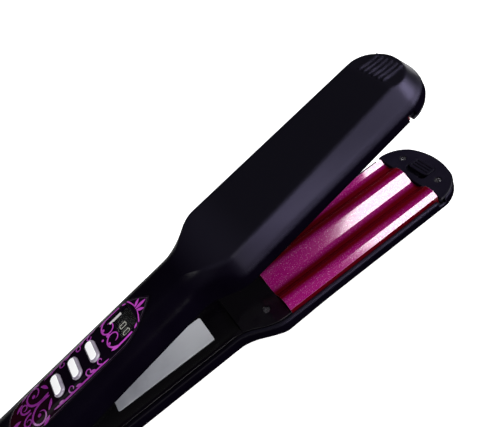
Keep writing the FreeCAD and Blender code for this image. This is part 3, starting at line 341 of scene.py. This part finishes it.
looks = {
    # shells: polished handle that turns into a soft matte head past the neck; lit is a painted sheen, a
    # paler tone on the head's faces that lean upward
    "softTouchBlack": {
        "dark": (0.0012, 0.0006, 0.0026), "light": (0.0022, 0.0014, 0.0042),
        "rubbed": (0.008, 0.008, 0.011), "rough": (0.14, 0.20), "farRough": 0.36,
        "roughRun": (-0.035, 0.012), "specular": 0.0, "grainScale": 6000.0, "grainDepth": 0.00001,
        "bump": 0.2, "blotchScale": 45.0, "edge": 0.0032, "wear": 0.1, "lit": (0.0228, 0.0205, 0.0345),
        "litFrom": 0.42, "litTo": 0.68, "litMetal": 0.85, "litHead": (-0.012, 0.03), "handleCoat": 0.14,
        "coatRough": 0.24},
    "glossBlack": {
        "dark": (0.0015, 0.0010, 0.0022), "light": (0.003, 0.002, 0.004), "rubbed": (0.012, 0.011, 0.014),
        "rough": (0.08, 0.16), "specular": 0.45, "grainScale": 900.0, "grainDepth": 0.00001, "bump": 0.08,
        "blotchScale": 30.0, "edge": 0.0005, "wear": 0.2},
    "matteBlack": {
        "dark": (0.0035, 0.0025, 0.0075), "light": (0.0065, 0.0050, 0.012),
        "rubbed": (0.016, 0.016, 0.022), "rough": (0.42, 0.52), "specular": 0.12, "grainScale": 3500.0,
        "grainDepth": 0.00003, "bump": 0.4, "blotchScale": 80.0, "edge": 0.0004, "wear": 0.4},
    "trayBlack": {
        "dark": (0.004, 0.004, 0.005), "light": (0.008, 0.008, 0.010), "rubbed": (0.02, 0.02, 0.02),
        "rough": (0.6, 0.7), "specular": 0.2, "grainScale": 2500.0, "grainDepth": 0.00004, "bump": 0.5,
        "blotchScale": 80.0, "edge": 0.0003, "wear": 0.2},
    "screwBlack": {
        "dark": (0.045, 0.043, 0.050), "light": (0.095, 0.090, 0.105), "rubbed": (0.55, 0.55, 0.58),
        "rough": (0.22, 0.34), "specular": 0.6, "metallic": 0.7, "grainScale": 3000.0,
        "grainDepth": 0.00002, "bump": 0.3, "blotchScale": 400.0, "edge": 0.00015, "wear": 0.35},
    "brightSteel": {
        "dark": (0.5, 0.5, 0.52), "light": (0.6, 0.6, 0.62), "rubbed": (0.8, 0.8, 0.8),
        "rough": (0.25, 0.35), "specular": 0.5, "metallic": 1.0, "grainScale": 3000.0,
        "grainDepth": 0.00001, "bump": 0.2, "blotchScale": 300.0, "edge": 0.0002, "wear": 0.4},
    "keyChrome": {
        "dark": (0.42, 0.37, 0.47), "light": (0.62, 0.56, 0.67), "rubbed": (1.0, 1.0, 1.0),
        "rough": (0.08, 0.14), "specular": 0.5, "metallic": 0.5, "grainScale": 800.0,
        "grainDepth": 0.000005, "bump": 0.1, "blotchScale": 200.0, "edge": 0.0002, "wear": 0.3},
    "keyFace": {
        "dark": (0.93, 0.93, 0.95), "light": (1.0, 1.0, 1.0), "rubbed": (1.0, 1.0, 1.0),
        "rough": (0.22, 0.30), "specular": 0.6, "grainScale": 2500.0, "grainDepth": 0.000005, "bump": 0.1,
        # glow on the key faces is painted light that makes them white
        "blotchScale": 200.0, "edge": 0.0002, "wear": 0.2, "glow": (1.0, 1.0, 1.0), "glowStrength": 0.14},
    "labelSilver": {
        "dark": (0.50, 0.51, 0.58), "light": (0.62, 0.63, 0.70), "rubbed": (0.8, 0.8, 0.84),
        "rough": (0.34, 0.44), "specular": 0.5, "metallic": 0.2, "grainScale": 4000.0,
        "grainDepth": 0.00001, "bump": 0.2, "blotchScale": 120.0, "edge": 0.0002, "wear": 0.3,
        # run and far paint a highlight: the silver plate turns paler towards the neck end
        "run": (-0.055, -0.010), "far": (0.90, 0.92, 0.98)},
    "panelBlack": {
        "dark": (0.0025, 0.0012, 0.0035), "light": (0.004, 0.002, 0.006), "rubbed": (0.03, 0.02, 0.035),
        "rough": (0.06, 0.10), "specular": 0.015, "grainScale": 900.0, "grainDepth": 0.00001,
        # run and far paint a warm glow: the panel turns redder towards the handle's tail
        "bump": 0.05, "blotchScale": 30.0, "edge": 0.0004, "wear": 0.5, "run": (-0.070, -0.112),
        "far": (0.014, 0.001, 0.004)},
    "panelLine": {
        "dark": (0.030, 0.018, 0.034), "light": (0.045, 0.028, 0.050), "rubbed": (0.08, 0.06, 0.09),
        "rough": (0.2, 0.3), "specular": 0.5, "grainScale": 1500.0, "grainDepth": 0.00001, "bump": 0.1,
        "blotchScale": 100.0, "edge": 0.0001, "wear": 0.3},
    "printViolet": {
        "dark": (0.42, 0.045, 0.44), "light": (0.56, 0.075, 0.58), "rubbed": (0.62, 0.12, 0.64),
        "rough": (0.16, 0.24), "specular": 0.4, "grainScale": 2500.0, "grainDepth": 0.000005, "bump": 0.1,
        "blotchScale": 220.0, "edge": 0.0001, "wear": 0.2, "run": (-0.040, -0.078),
        "far": (0.20, 0.012, 0.21)},
    "displayFace": {
        "dark": (0.004, 0.004, 0.005), "light": (0.007, 0.007, 0.008), "rubbed": (0.02, 0.02, 0.02),
        "rough": (0.2, 0.3), "specular": 0.5, "grainScale": 2000.0, "grainDepth": 0.00001, "bump": 0.1,
        "blotchScale": 200.0, "edge": 0.0002, "wear": 0.2},
    "digitGrey": {
        "dark": (0.10, 0.10, 0.09), "light": (0.15, 0.15, 0.13), "rubbed": (0.2, 0.2, 0.2),
        "rough": (0.3, 0.4), "specular": 0.3, "grainScale": 2000.0, "grainDepth": 0.00001, "bump": 0.1,
        # glow on the digits is painted light in place of the lamps' light that the window holds back
        "blotchScale": 400.0, "edge": 0.0001, "wear": 0.1, "glow": (0.75, 0.75, 0.66),
        "glowStrength": 0.5},
    # pale tone of the bar beside the window, a painted glare
    "paintedGlare": {
        "dark": (0.60, 0.56, 0.58), "light": (0.72, 0.68, 0.70), "rubbed": (0.9, 0.88, 0.9),
        "rough": (0.25, 0.35), "specular": 0.6, "grainScale": 2500.0, "grainDepth": 0.000005, "bump": 0.1,
        "blotchScale": 200.0, "edge": 0.0002, "wear": 0.3},
    "boardGreen": {
        "dark": (0.01, 0.08, 0.03), "light": (0.015, 0.11, 0.045), "rubbed": (0.3, 0.25, 0.1),
        "rough": (0.3, 0.4), "specular": 0.5, "grainScale": 1500.0, "grainDepth": 0.00002, "bump": 0.2,
        "blotchScale": 150.0, "edge": 0.0002, "wear": 0.3},
}
materials = {name: surface(name, look) for name, look in looks.items()}

pearl = {
    # face is the plate's magenta; shadedSlope is painted shade for the flanks seen aslant
    "face": (0.22, 0.0005, 0.105), "shadedSlope": (0.100, 0.0, 0.004), "spark": (0.80, 0.30, 0.70),
    "rubbed": (0.75, 0.45, 0.65), "metallic": 0.12, "specular": 0.06, "rough": (0.16, 0.25),
    "turn": (0.10, 0.36),                       # from seen straight on to seen aslant
    "sparkScale": 2700.0, "sparkDetail": 1.0, "sparkSpan": (0.64, 0.74), "sparkMost": 0.6,
    "sparkAslant": 0.08, "coat": (0.5, 1.0), "coatSpan": (0.42, 0.60), "coatAslant": 0.06,
    "coatRough": 0.10, "coatIndex": 1.95,
    "bump": 0.35, "grainDepth": 0.00003, "edge": 0.0002, "wear": 0.35,
}


def pearlMagenta():
    # coated metal: magenta seen straight on, turned wine red by painted shade where seen aslant, fine
    # bright flakes under a clear coat
    material, tree, shader = newMaterial("pearlMagenta", pearl)
    facing = put(tree, "ShaderNodeLayerWeight", Blend=0.5)
    aslant = ramp(tree, facing.outputs["Facing"], pearl["turn"], kind="SMOOTHSTEP")
    coord = put(tree, "ShaderNodeTexCoord")
    flakes = put(tree, "ShaderNodeTexNoise", Scale=pearl["sparkScale"], Detail=pearl["sparkDetail"])
    join(tree, coord.outputs["Object"], flakes.inputs["Vector"])
    flake = flakes.outputs["Fac"]
    edge = useGroup(tree, edgeGroup, Radius=pearl["edge"], Wear=pearl["wear"])
    # flakes show less where the coating is seen aslant
    bright = ramp(tree, flake, pearl["sparkSpan"], 0.0, pearl["sparkMost"])
    seen = combined(tree, bright, ramp(tree, aslant, (0.0, 1.0), 1.0, pearl["sparkAslant"]))
    # painted shade: faces seen aslant go wine red
    colour = mix(tree, aslant, pearl["face"], pearl["shadedSlope"])
    colour = mix(tree, seen, colour, pearl["spark"])
    colour = mix(tree, edge.outputs["Rim"], colour, pearl["rubbed"])
    join(tree, colour, shader.inputs["Base Color"])
    # the clear coat shows most where it is seen straight on, and the flakes break it
    glitter = ramp(tree, flake, pearl["coatSpan"], *pearl["coat"])
    coat = combined(tree, glitter, ramp(tree, aslant, (0.0, 1.0), 1.0, pearl["coatAslant"]))
    join(tree, coat, shader.inputs["Coat Weight"])
    join(tree, ramp(tree, flake, noise["span"], *pearl["rough"]), shader.inputs["Roughness"])
    addBump(tree, shader, flake, edge.outputs["Normal"], pearl)
    return material


glass = {"tint": (0.9, 0.9, 0.95), "clear": 1.0, "index": 1.45, "alpha": 0.12, "rough": (0.03, 0.07),
         "grainScale": 700.0, "blotchScale": 150.0}


def clearWindow():
    # smoked glass with faint smudges in its roughness
    material, tree, shader = newMaterial("clearWindow", {})
    sockets = {"tint": "Base Color", "clear": "Transmission Weight", "index": "IOR", "alpha": "Alpha"}
    for key, socket in sockets.items():
        join(tree, glass[key], shader.inputs[socket])
    grain = useGroup(tree, grainGroup, Scale=glass["grainScale"], Blotch_Scale=glass["blotchScale"])
    rough = ramp(tree, grain.outputs["Blotch"], noise["span"], *glass["rough"])
    join(tree, rough, shader.inputs["Roughness"])
    return material


materials["pearlMagenta"] = pearlMagenta()
materials["clearWindow"] = clearWindow()
print("materials made:", len(materials))

finishOf = {
    "soft_touch_black": "softTouchBlack", "gloss_black": "glossBlack", "matte_black": "matteBlack",
    "heatproof_black": "trayBlack", "plate_magenta": "pearlMagenta", "steel": "brightSteel",
    "aluminium": "brightSteel", "printed_panel": "panelBlack", "chrome": "keyChrome",
    "clear_window": "clearWindow", "display": "displayFace", "board_green": "boardGreen",
    "label_silver": "labelSilver"}
for entry in frame["record"]["subparts"]:
    for place in nodes[entry["node"]].material_slots:
        place.material = materials[finishOf[entry["material_slot"]]]

# cross-head screws

screw = {
    "head": 1.98, "rise": 0.45, "sink": 0.1, "around": 96, "rings": 30, "crowding": 0.9,
    "crossHalf": 0.36, "crossReach": 1.35, "crossDepth": 0.7, "sideBlur": 0.16, "endBlur": 0.3,
    "headThick": 1.3, "shank": 1.1, "shankEnd": 7.0, "tip": 0.3, "taper": 0.8,
    "turns": (0.35, 1.1),                       # how far the cross of each of a pair is turned
    # where each pair stands: x, distance from the middle, face of the head, seat below it
    "pairs": {"heel": (139.7, 13.6, 1.0, 3.2), "cap": (256.0, 14.3, 0.6, 5.0)},
}


def screwGrid(x, y, face, seat, turn):
    # a domed disc whose centre sinks by a cross of two smooth bars, then a rim, an underside and a shank
    angle = np.linspace(0, 2 * math.pi, screw["around"], endpoint=False)
    radius = np.linspace(0, 1, screw["rings"]) ** screw["crowding"] * screw["head"]
    r, a = np.meshgrid(radius, angle, indexing="ij")
    u, v = np.abs(r * np.cos(a + turn)), np.abs(r * np.sin(a + turn))
    inside = np.clip((screw["crossHalf"] - np.minimum(u, v)) / screw["sideBlur"] + 0.5, 0, 1)
    inside *= np.clip((screw["crossReach"] - np.maximum(u, v)) / screw["endBlur"] + 0.5, 0, 1)
    top = face + screw["sink"] + screw["rise"] * (r / screw["head"]) ** 2 + screw["crossDepth"] * inside
    head = np.stack([x + r * np.cos(a), y + r * np.sin(a), top], -1)
    low, end = face + screw["headThick"], seat + screw["shankEnd"]
    steps = [(screw["head"], low), (screw["shank"], low), (screw["shank"], end - screw["taper"]),
             (screw["tip"], end), (0.0, end)]
    rings = [np.stack([x + q * np.cos(angle), y + q * np.sin(angle), np.full_like(angle, z)], -1)
             for q, z in steps]
    return np.concatenate([head, np.array(rings)])


def makeScrews():
    # two heel screws and two cap screws in each arm
    for side, turn in (("lower", turnOver), ("upper", turnUp)):
        for group, (x, aside, face, seat) in screw["pairs"].items():
            grids = [(placed(screwGrid(x, way * aside, face, seat, cross), turn), True, 0)
                     for way, cross in zip((-1, 1), screw["turns"])]
            makePiece(f"{side}{group.title()}Screws", grids, f"{side}_arm", ["screwBlack"],
                      [f"{side}_{group}_screws"])


makeScrews()
print("screws made")

# oblong keys: pale face with a painted glow, bright bevelled rim

key = {
    "first": 71.9, "pitch": 10.2, "reach": 6.4, "half": 2.7, "proud": 1.1, "faceShare": 0.66,
    "faceEdge": ((-0.05, 0.01), (0.05, 0.04)),  # past the face's edge, and below the key's top
    # inside the key's side, and below its top
    "bevel": ((0.45, 0.42), (0.2, 0.6), (0.06, 0.85), (0.0, 1.1)),
    "foot": -3.4, "flange": 0.8, "flangeTop": -3.3, "flangeLow": -4.3, "around": 64, "sharp": 24.0,
}


def keyGrid(x, crown):
    # rings of an oblong: half circles round both ends of a middle line, at their own radius and height
    angle = np.linspace(0, math.pi, key["around"] // 2)
    ring = np.concatenate([angle, angle + math.pi])
    ends = np.concatenate([np.ones_like(angle), -np.ones_like(angle)]) * (key["reach"] - key["half"])
    half, top = key["half"], key["proud"]
    face, wide = half * key["faceShare"], half + key["flange"]
    steps = [(0.0, top), (face * 0.5, top)]
    steps += [(face + past, top - drop) for past, drop in key["faceEdge"]]
    steps += [(half - inside, top - drop) for inside, drop in key["bevel"]]
    steps += [(half, key["foot"]), (wide, key["flangeTop"]), (wide, key["flangeLow"])]
    steps += [(0.0, key["flangeLow"])]
    rings = [np.stack([x + q * np.cos(ring), ends + q * np.sin(ring), np.full_like(ring, crown + z)], -1)
             for q, z in steps]
    return np.array(rings)


def makeKeys():
    # three keys in a row, each on its own body
    for number, word in enumerate(("plus", "minus", "power")):
        x = key["first"] - key["pitch"] * number
        points = placed(keyGrid(x, crownAt(x)), turnUp)
        finish = np.array([1, 1] + [0] * (len(points) - 3))    # two inner rows of cells are the pale face
        makePiece(f"{word}Key", [(points, True, finish)], f"{word}_key", ["keyChrome", "keyFace"],
                  [f"button_{word}"], sharp=key["sharp"])


makeKeys()
print("keys made")

# print, outline and trim on the control panel

vine = {
    "lift": 0.03, "sink": 0.05, "steps": 48, "least": 0.004,
    "leafPower": 0.8, "stemEnd": 14, "stemPower": 0.5,    # how fast a leaf and a stem's ends swell
    # kind, x, y, heading in degrees, length, then turn in degrees per mm and width, each at start and end
    "strokes": [
        ("leaf", 97.6, 0.0, 0, 6.2, 0, 0, 1.7, 1.7),
        ("dot", 80.4, 0.0, 0, 1.9, 0, 0, 1.9, 1.9),
        ("dot", 77.6, 0.0, 0, 1.2, 0, 0, 1.2, 1.2),
        ("leaf", 30.6, 0.0, 180, 5.2, 0, 0, 1.7, 1.7),
    ],
    "pairs": [
        ("leaf", 97.8, 0.9, 42, 4.4, -3, -3, 1.4, 1.4),
        ("stem", 98.2, 1.0, 100, 7.0, 1, 5, 0.35, 0.7),
        ("leaf", 95.2, 7.0, 140, 2.6, 6, 6, 0.8, 0.8),
        ("stem", 91.6, 8.7, 176, 8.0, 0.5, 1, 0.7, 0.8),
        ("stem", 84.6, 9.2, 190, 21.0, 7, 27, 0.9, 0.5),
        ("dot", 79.6, 4.0, 40, 1.6, 0, 0, 1.6, 1.6),
        ("leaf", 83.6, 9.3, 205, 4.2, -6, -6, 1.3, 1.3),
        ("stem", 77.0, 10.2, 184, 31.0, -0.6, 0.8, 0.5, 0.9),
        ("stem", 73.4, 9.7, 196, 6.4, 22, 70, 0.7, 0.4),
        ("leaf", 70.0, 9.9, 216, 3.4, -8, -8, 1.2, 1.2),
        ("stem", 66.8, 9.7, 196, 7.6, 24, 62, 0.7, 0.4),
        ("leaf", 62.0, 9.9, 214, 3.4, -8, -8, 1.2, 1.2),
        ("stem", 57.0, 9.7, 196, 7.6, 24, 62, 0.7, 0.4),
        ("leaf", 52.4, 9.9, 214, 3.4, -8, -8, 1.2, 1.2),
        ("stem", 46.9, 0.9, 196, 29.0, -2.6, -24, 1.3, 0.5),
        ("dot", 38.6, 5.6, 0, 1.7, 0, 0, 1.7, 1.7),
        ("leaf", 47.0, 3.0, 110, 5.2, 6, 6, 1.5, 1.5),
        ("leaf", 43.6, 9.4, 150, 4.6, 4, 4, 1.4, 1.4),
        ("stem", 36.4, 0.9, 186, 15.0, -7, -50, 1.0, 0.4),
        ("leaf", 33.4, 7.2, 200, 4.4, 6, 6, 1.3, 1.3),
        ("leaf", 36.6, 10.2, 190, 4.0, 6, 6, 1.1, 1.1),
    ],
}


def strokeGrid(kind, x, y, heading, length, turnStart, turnEnd, widthStart, widthEnd):
    # a path whose turning grows evenly along it, with a width across: tapered, pointed or round
    share = np.linspace(0, 1, vine["steps"])
    along = share * length
    angle = np.radians(heading + turnStart * along + (turnEnd - turnStart) * along * share / 2)
    step = length / (vine["steps"] - 1)
    px = x + np.concatenate([[0], np.cumsum(np.cos(angle[:-1]) * step)])
    py = y + np.concatenate([[0], np.cumsum(np.sin(angle[:-1]) * step)])
    width = widthStart + (widthEnd - widthStart) * share
    if kind == "leaf":
        width = width * np.sin(math.pi * share) ** vine["leafPower"]
    elif kind == "dot":
        width = width * np.sqrt(np.clip(1 - (2 * share - 1) ** 2, 0, 1))
    else:
        width = width * np.clip(np.minimum(share, 1 - share) * vine["stemEnd"], 0, 1) ** vine["stemPower"]
    half = np.maximum(width, vine["least"])[:, None] / 2
    side = half * np.stack([-np.sin(angle), np.cos(angle)], -1)
    across = np.array([1, 0.5, -0.5, -1])       # over the top, and back below it
    across = np.concatenate([across, across[::-1]])
    flat = np.stack([px, py], -1)[:, None] + side[:, None] * across[:, None]
    z = crownHeight(flat[..., 0], flat[..., 1]) + np.repeat([vine["lift"], -vine["sink"]], 4)
    return np.concatenate([flat, z[..., None]], -1)


def makeVine():
    # strokes on the middle line, and pairs mirrored across it
    strokes = list(vine["strokes"])
    for kind, x, y, heading, length, turnStart, turnEnd, wide, narrow in vine["pairs"]:
        strokes.append((kind, x, y, heading, length, turnStart, turnEnd, wide, narrow))
        strokes.append((kind, x, -y, -heading, length, -turnStart, -turnEnd, wide, narrow))
    grids = [(placed(strokeGrid(*stroke), turnUp), True, 0) for stroke in strokes]
    makePiece("panelVine", grids, "upper_arm", ["printViolet"])


leafEdge = {
    "point": 106.0, "shoulder": 86.0, "tail": 24.0, "half": 11.5, "swell": 0.62, "bend": 0.6,
    "inset": 0.55, "width": 0.22, "lift": 0.025, "sink": 0.05, "arcSteps": 40, "sideSteps": 60,
}


def arcThrough(start, middle, end, count):
    # points of the circle through three points, from the first to the last
    (ax, ay), (bx, by), (cx, cy) = start, middle, end
    twice = 2 * (ax * (by - cy) + bx * (cy - ay) + cx * (ay - by))
    sa, sb, sc = ax * ax + ay * ay, bx * bx + by * by, cx * cx + cy * cy
    ox = (sa * (by - cy) + sb * (cy - ay) + sc * (ay - by)) / twice
    oy = (sa * (cx - bx) + sb * (ax - cx) + sc * (bx - ax)) / twice
    first, mid, last = (math.atan2(p[1] - oy, p[0] - ox) for p in (start, middle, end))
    way = 1 if (mid - first) % (2 * math.pi) < (last - first) % (2 * math.pi) else -1
    sweep = way * ((way * (last - first)) % (2 * math.pi))
    angle = first + sweep * np.linspace(0, 1, count)
    radius = math.hypot(ax - ox, ay - oy)
    return np.stack([ox + radius * np.cos(angle), oy + radius * np.sin(angle)], -1)


def leafPath(inset):
    # outline of the leaf: two arcs to the point, two straight flanks and a round tail
    half = leafEdge["half"] - inset
    point, shoulder, tail = leafEdge["point"] - 2 * inset, leafEdge["shoulder"], leafEdge["tail"] + inset
    back, middle = tail + half, shoulder + (point - shoulder) * leafEdge["bend"]
    swell = leafEdge["swell"] * half
    flank = np.linspace(0, 1, leafEdge["sideSteps"])[:, None]
    runs = [
        arcThrough((shoulder, half), (middle, swell), (point, 0.0), leafEdge["arcSteps"]),
        arcThrough((point, 0.0), (middle, -swell), (shoulder, -half), leafEdge["arcSteps"]),
        np.array([[shoulder, -half]]) * (1 - flank) + np.array([[back, -half]]) * flank,
        arcThrough((back, -half), (tail, 0.0), (back, half), leafEdge["sideSteps"]),
        np.array([[back, half]]) * (1 - flank) + np.array([[shoulder, half]]) * flank,
    ]
    return np.concatenate([run[:-1] for run in runs])


def makeLeafEdge():
    # a fine raised line that follows the outline, four points across
    inner, outer = leafPath(leafEdge["inset"] + leafEdge["width"]), leafPath(leafEdge["inset"])
    high, low = leafEdge["lift"], -leafEdge["sink"]
    rings = []
    for line, lift in ((outer, low), (outer, high), (inner, high), (inner, low), (outer, low)):
        z = crownHeight(line[:, 0], line[:, 1]) + lift
        rings.append(np.concatenate([line, z[:, None]], -1))
    makePiece("panelEdgeLine", [(placed(np.array(rings), turnUp), True, 0)], "upper_arm",
              ["panelLine"])


makeVine()
makeLeafEdge()
print("panel print made")

# display: two resting digits that glow faintly with painted light, and a pale bar beside the window that is
# a painted glare

digits = {
    "x": 88.5, "ys": (0.3, -4.2), "high": 3.4, "wide": 2.0, "stroke": 0.42, "thick": 0.12, "soft": 0.03,
    "windowX": 91.0, "below": 2.25,             # the digits' depth below the handle's back at the window
}
bar = {"x": (84.4, 91.2), "y": (4.3, 5.4), "lift": 0.12, "sink": 0.3, "steps": (12, 5)}


def slabGrid(x, y, halfX, halfY, low, high, soft):
    # rings of a slab whose upper rim is drawn in
    rings = []
    for inset, z in ((soft * 3, high), (soft, high), (0.0, high - soft), (0.0, low)):
        a, b, c, d = x - halfX + inset, x + halfX - inset, y - halfY + inset, y + halfY - inset
        rings.append([(a, c, z), (b, c, z), (b, d, z), (a, d, z)])
    return np.array(rings)


def makeDigits():
    # each digit: a short slab at either end and two slabs along either side
    low = crownAt(digits["windowX"]) - digits["below"]
    middle, wide, high, stroke = digits["x"], digits["wide"], digits["high"], digits["stroke"]
    slabs = []
    for y in digits["ys"]:
        slabs += [(middle + level * high / 2, y, stroke / 2, wide / 2 - stroke) for level in (-1, 1)]
        slabs += [(middle + level * high / 4, y + side * wide / 2, high / 4 - stroke / 4, stroke / 2)
                  for side in (-1, 1) for level in (-1, 1)]
    top = low + digits["thick"]
    grids = [(placed(slabGrid(*slab, low, top, digits["soft"]), turnUp), True, 0) for slab in slabs]
    makePiece("displayDigits", grids, "upper_arm", ["digitGrey"])


def makeBar():
    # a pale slab along the window's side that follows the handle's back: a painted glare
    xs, ys = (np.linspace(*bar[side], count) for side, count in zip("xy", bar["steps"]))
    x, y = np.meshgrid(xs, ys, indexing="ij")
    top = np.stack([x, y, crownHeight(x, y) + bar["lift"]], -1)
    rim = np.stack([x, y, crownHeight(x, y) - bar["sink"]], -1)
    loops = [np.concatenate([g[0, :-1], g[:-1, -1], g[-1, :0:-1], g[:0:-1, 0]]) for g in (top, rim)]
    grids = [(placed(top, turnUp), False, 0), (placed(np.array(loops), turnUp), True, 0)]
    makePiece("paintedGlareBar", grids, "upper_arm", ["paintedGlare"])


makeDigits()
makeBar()
print("display made")

# bare silver plate in the lower handle's trough

label = {
    "start": 57.0, "end": 111.4, "half": 8.2, "aside": -2.0, "corner": 0.9, "thick": 0.25, "seat": 0.02,
    "edge": 4.6, "inner": 1.4, "depth": 3.2,    # the trough: inside the handle's side, rim's height, depth
    "steps": 30, "cornerSteps": 7, "across": 25,
}


def makeLabel():
    # a sheet bent to the trough's arc: rings across it, narrower at the ends for the round corners
    start, end, corner = label["start"], label["end"], label["corner"]
    rise = corner * (1 - np.cos(np.linspace(0, math.pi / 2, label["cornerSteps"])))
    xs = np.concatenate([start + rise, np.linspace(start, end, label["steps"])[2:-2], end - rise[::-1]])
    near = np.minimum(np.minimum(xs - start, end - xs), corner)
    half = label["half"] - corner + np.sqrt(np.maximum(corner ** 2 - (corner - near) ** 2, 0))
    trough = handleAt(xs)[1] - label["edge"]
    # radius of an arc from half its chord and its depth
    radius = (trough ** 2 + label["depth"] ** 2) / (2 * label["depth"])
    centre = label["inner"] + label["depth"] - radius
    across = np.linspace(-1, 1, label["across"])
    inset = label["seat"] + np.repeat([0.0, label["thick"]], label["across"])
    y = label["aside"] + half[:, None] * np.concatenate([across, across[::-1]])
    z = centre[:, None] + np.sqrt((radius[:, None] - inset) ** 2 - y ** 2)
    points = np.stack([np.broadcast_to(xs[:, None], y.shape), y, z], -1)
    makePiece("servicePlate", [(placed(points, turnOver), True, 0)], "lower_arm",
              ["labelSilver"], ["rating_plate"])


makeLabel()
print("silver plate made")

# floor, lights and camera

stage = {"floorSize": 6.0, "floorGlow": 0.9, "floorTone": 0.8, "floorRough": 0.9, "worldTone": 0.03}


def makeFloor():
    # a pale floor whose glow only camera, mirror and glass rays see
    half = stage["floorSize"] / 2
    mesh = bpy.data.meshes.new("floor")
    corners = [(-half, -half, 0), (half, -half, 0), (half, half, 0), (-half, half, 0)]
    mesh.from_pydata(corners, [], [(0, 1, 2, 3)])
    floor = bpy.data.objects.new("floor", mesh)
    bpy.context.collection.objects.link(floor)
    material, tree, shader = newMaterial("paleFloor", {"glow": (1, 1, 1)})
    join(tree, (stage["floorTone"],) * 3, shader.inputs["Base Color"])
    join(tree, stage["floorRough"], shader.inputs["Roughness"])
    path = put(tree, "ShaderNodeLightPath")
    seen = path.outputs["Is Camera Ray"]
    for ray in ("Is Glossy Ray", "Is Transmission Ray"):
        seen = combined(tree, seen, path.outputs[ray], "MAXIMUM")
    join(tree, combined(tree, seen, stage["floorGlow"]), shader.inputs["Emission Strength"])
    mesh.materials.append(material)


softBoxes = {
    # place, aim, width and height in metres, power in watts
    "keySoftBox": ((0.80, -0.45, 0.95), (0.08, 0, 0.03), 0.8, 0.58, 17.0),
    "frontSoftBox": ((0.12, -1.1, 0.58), (0.05, 0, 0.03), 0.7, 0.30, 7.6),
    "leftSoftBox": ((-1.0, 0.5, 0.9), (0, 0, 0.03), 0.5, 0.5, 4.0),
}


def softBox(name, place, aim, width, height, power):
    # an oblong light that faces its aim
    light = bpy.data.lights.new(name, "AREA")
    light.shape = "RECTANGLE"
    light.size, light.size_y = width, height
    light.energy = power
    lamp = bpy.data.objects.new(name, light)
    lamp.location = place
    lamp.rotation_mode = "QUATERNION"
    lamp.rotation_quaternion = (Vector(aim) - Vector(place)).to_track_quat("-Z", "Y")
    bpy.context.collection.objects.link(lamp)


def makeWorld():
    # white where the camera sees past the floor, dim for all other rays
    world = bpy.data.worlds.new("studio")
    bpy.context.scene.world = world
    world.use_nodes = True
    tree = world.node_tree
    back = tree.nodes["Background"]
    join(tree, (1, 1, 1), back.inputs["Color"])
    path = put(tree, "ShaderNodeLightPath")
    strength = ramp(tree, path.outputs["Is Camera Ray"], (0.0, 1.0), stage["worldTone"], 1.0)
    join(tree, strength, back.inputs["Strength"])


camera = {
    "focal": 587.7, "centre": (311.6, 185.1), "frame": (480, 427), "sensor": 36.0, "clip": (0.005, 20.0),
    "place": (-0.01065, -0.2037, 0.2451),
    "right": (0.78472, -0.55653, -0.27293), "down": (-0.55823, -0.44312, -0.70144),
}


def makeCamera():
    # a pinhole with its centre off the middle of the frame, turned by its right and down directions
    data = bpy.data.cameras.new("camera")
    eye = bpy.data.objects.new("camera", data)
    bpy.context.collection.objects.link(eye)
    width, height = camera["frame"]
    data.sensor_width = camera["sensor"]
    data.lens = camera["focal"] / width * camera["sensor"]
    data.shift_x = (width / 2 - camera["centre"][0]) / width
    data.shift_y = (camera["centre"][1] - height / 2) / width
    right = Vector(camera["right"]).normalized()
    up = -Vector(camera["down"])
    up = (up - right * up.dot(right)).normalized()
    turn = Matrix((right, up, right.cross(up))).transposed().to_4x4()
    eye.matrix_world = Matrix.Translation(camera["place"]) @ turn
    data.clip_start, data.clip_end = camera["clip"]
    bpy.context.scene.camera = eye


makeFloor()
makeWorld()
for name, settings in softBoxes.items():
    softBox(name, *settings)
makeCamera()
bpy.context.scene.view_settings.view_transform = "Standard"
print("floor, lights and camera made")
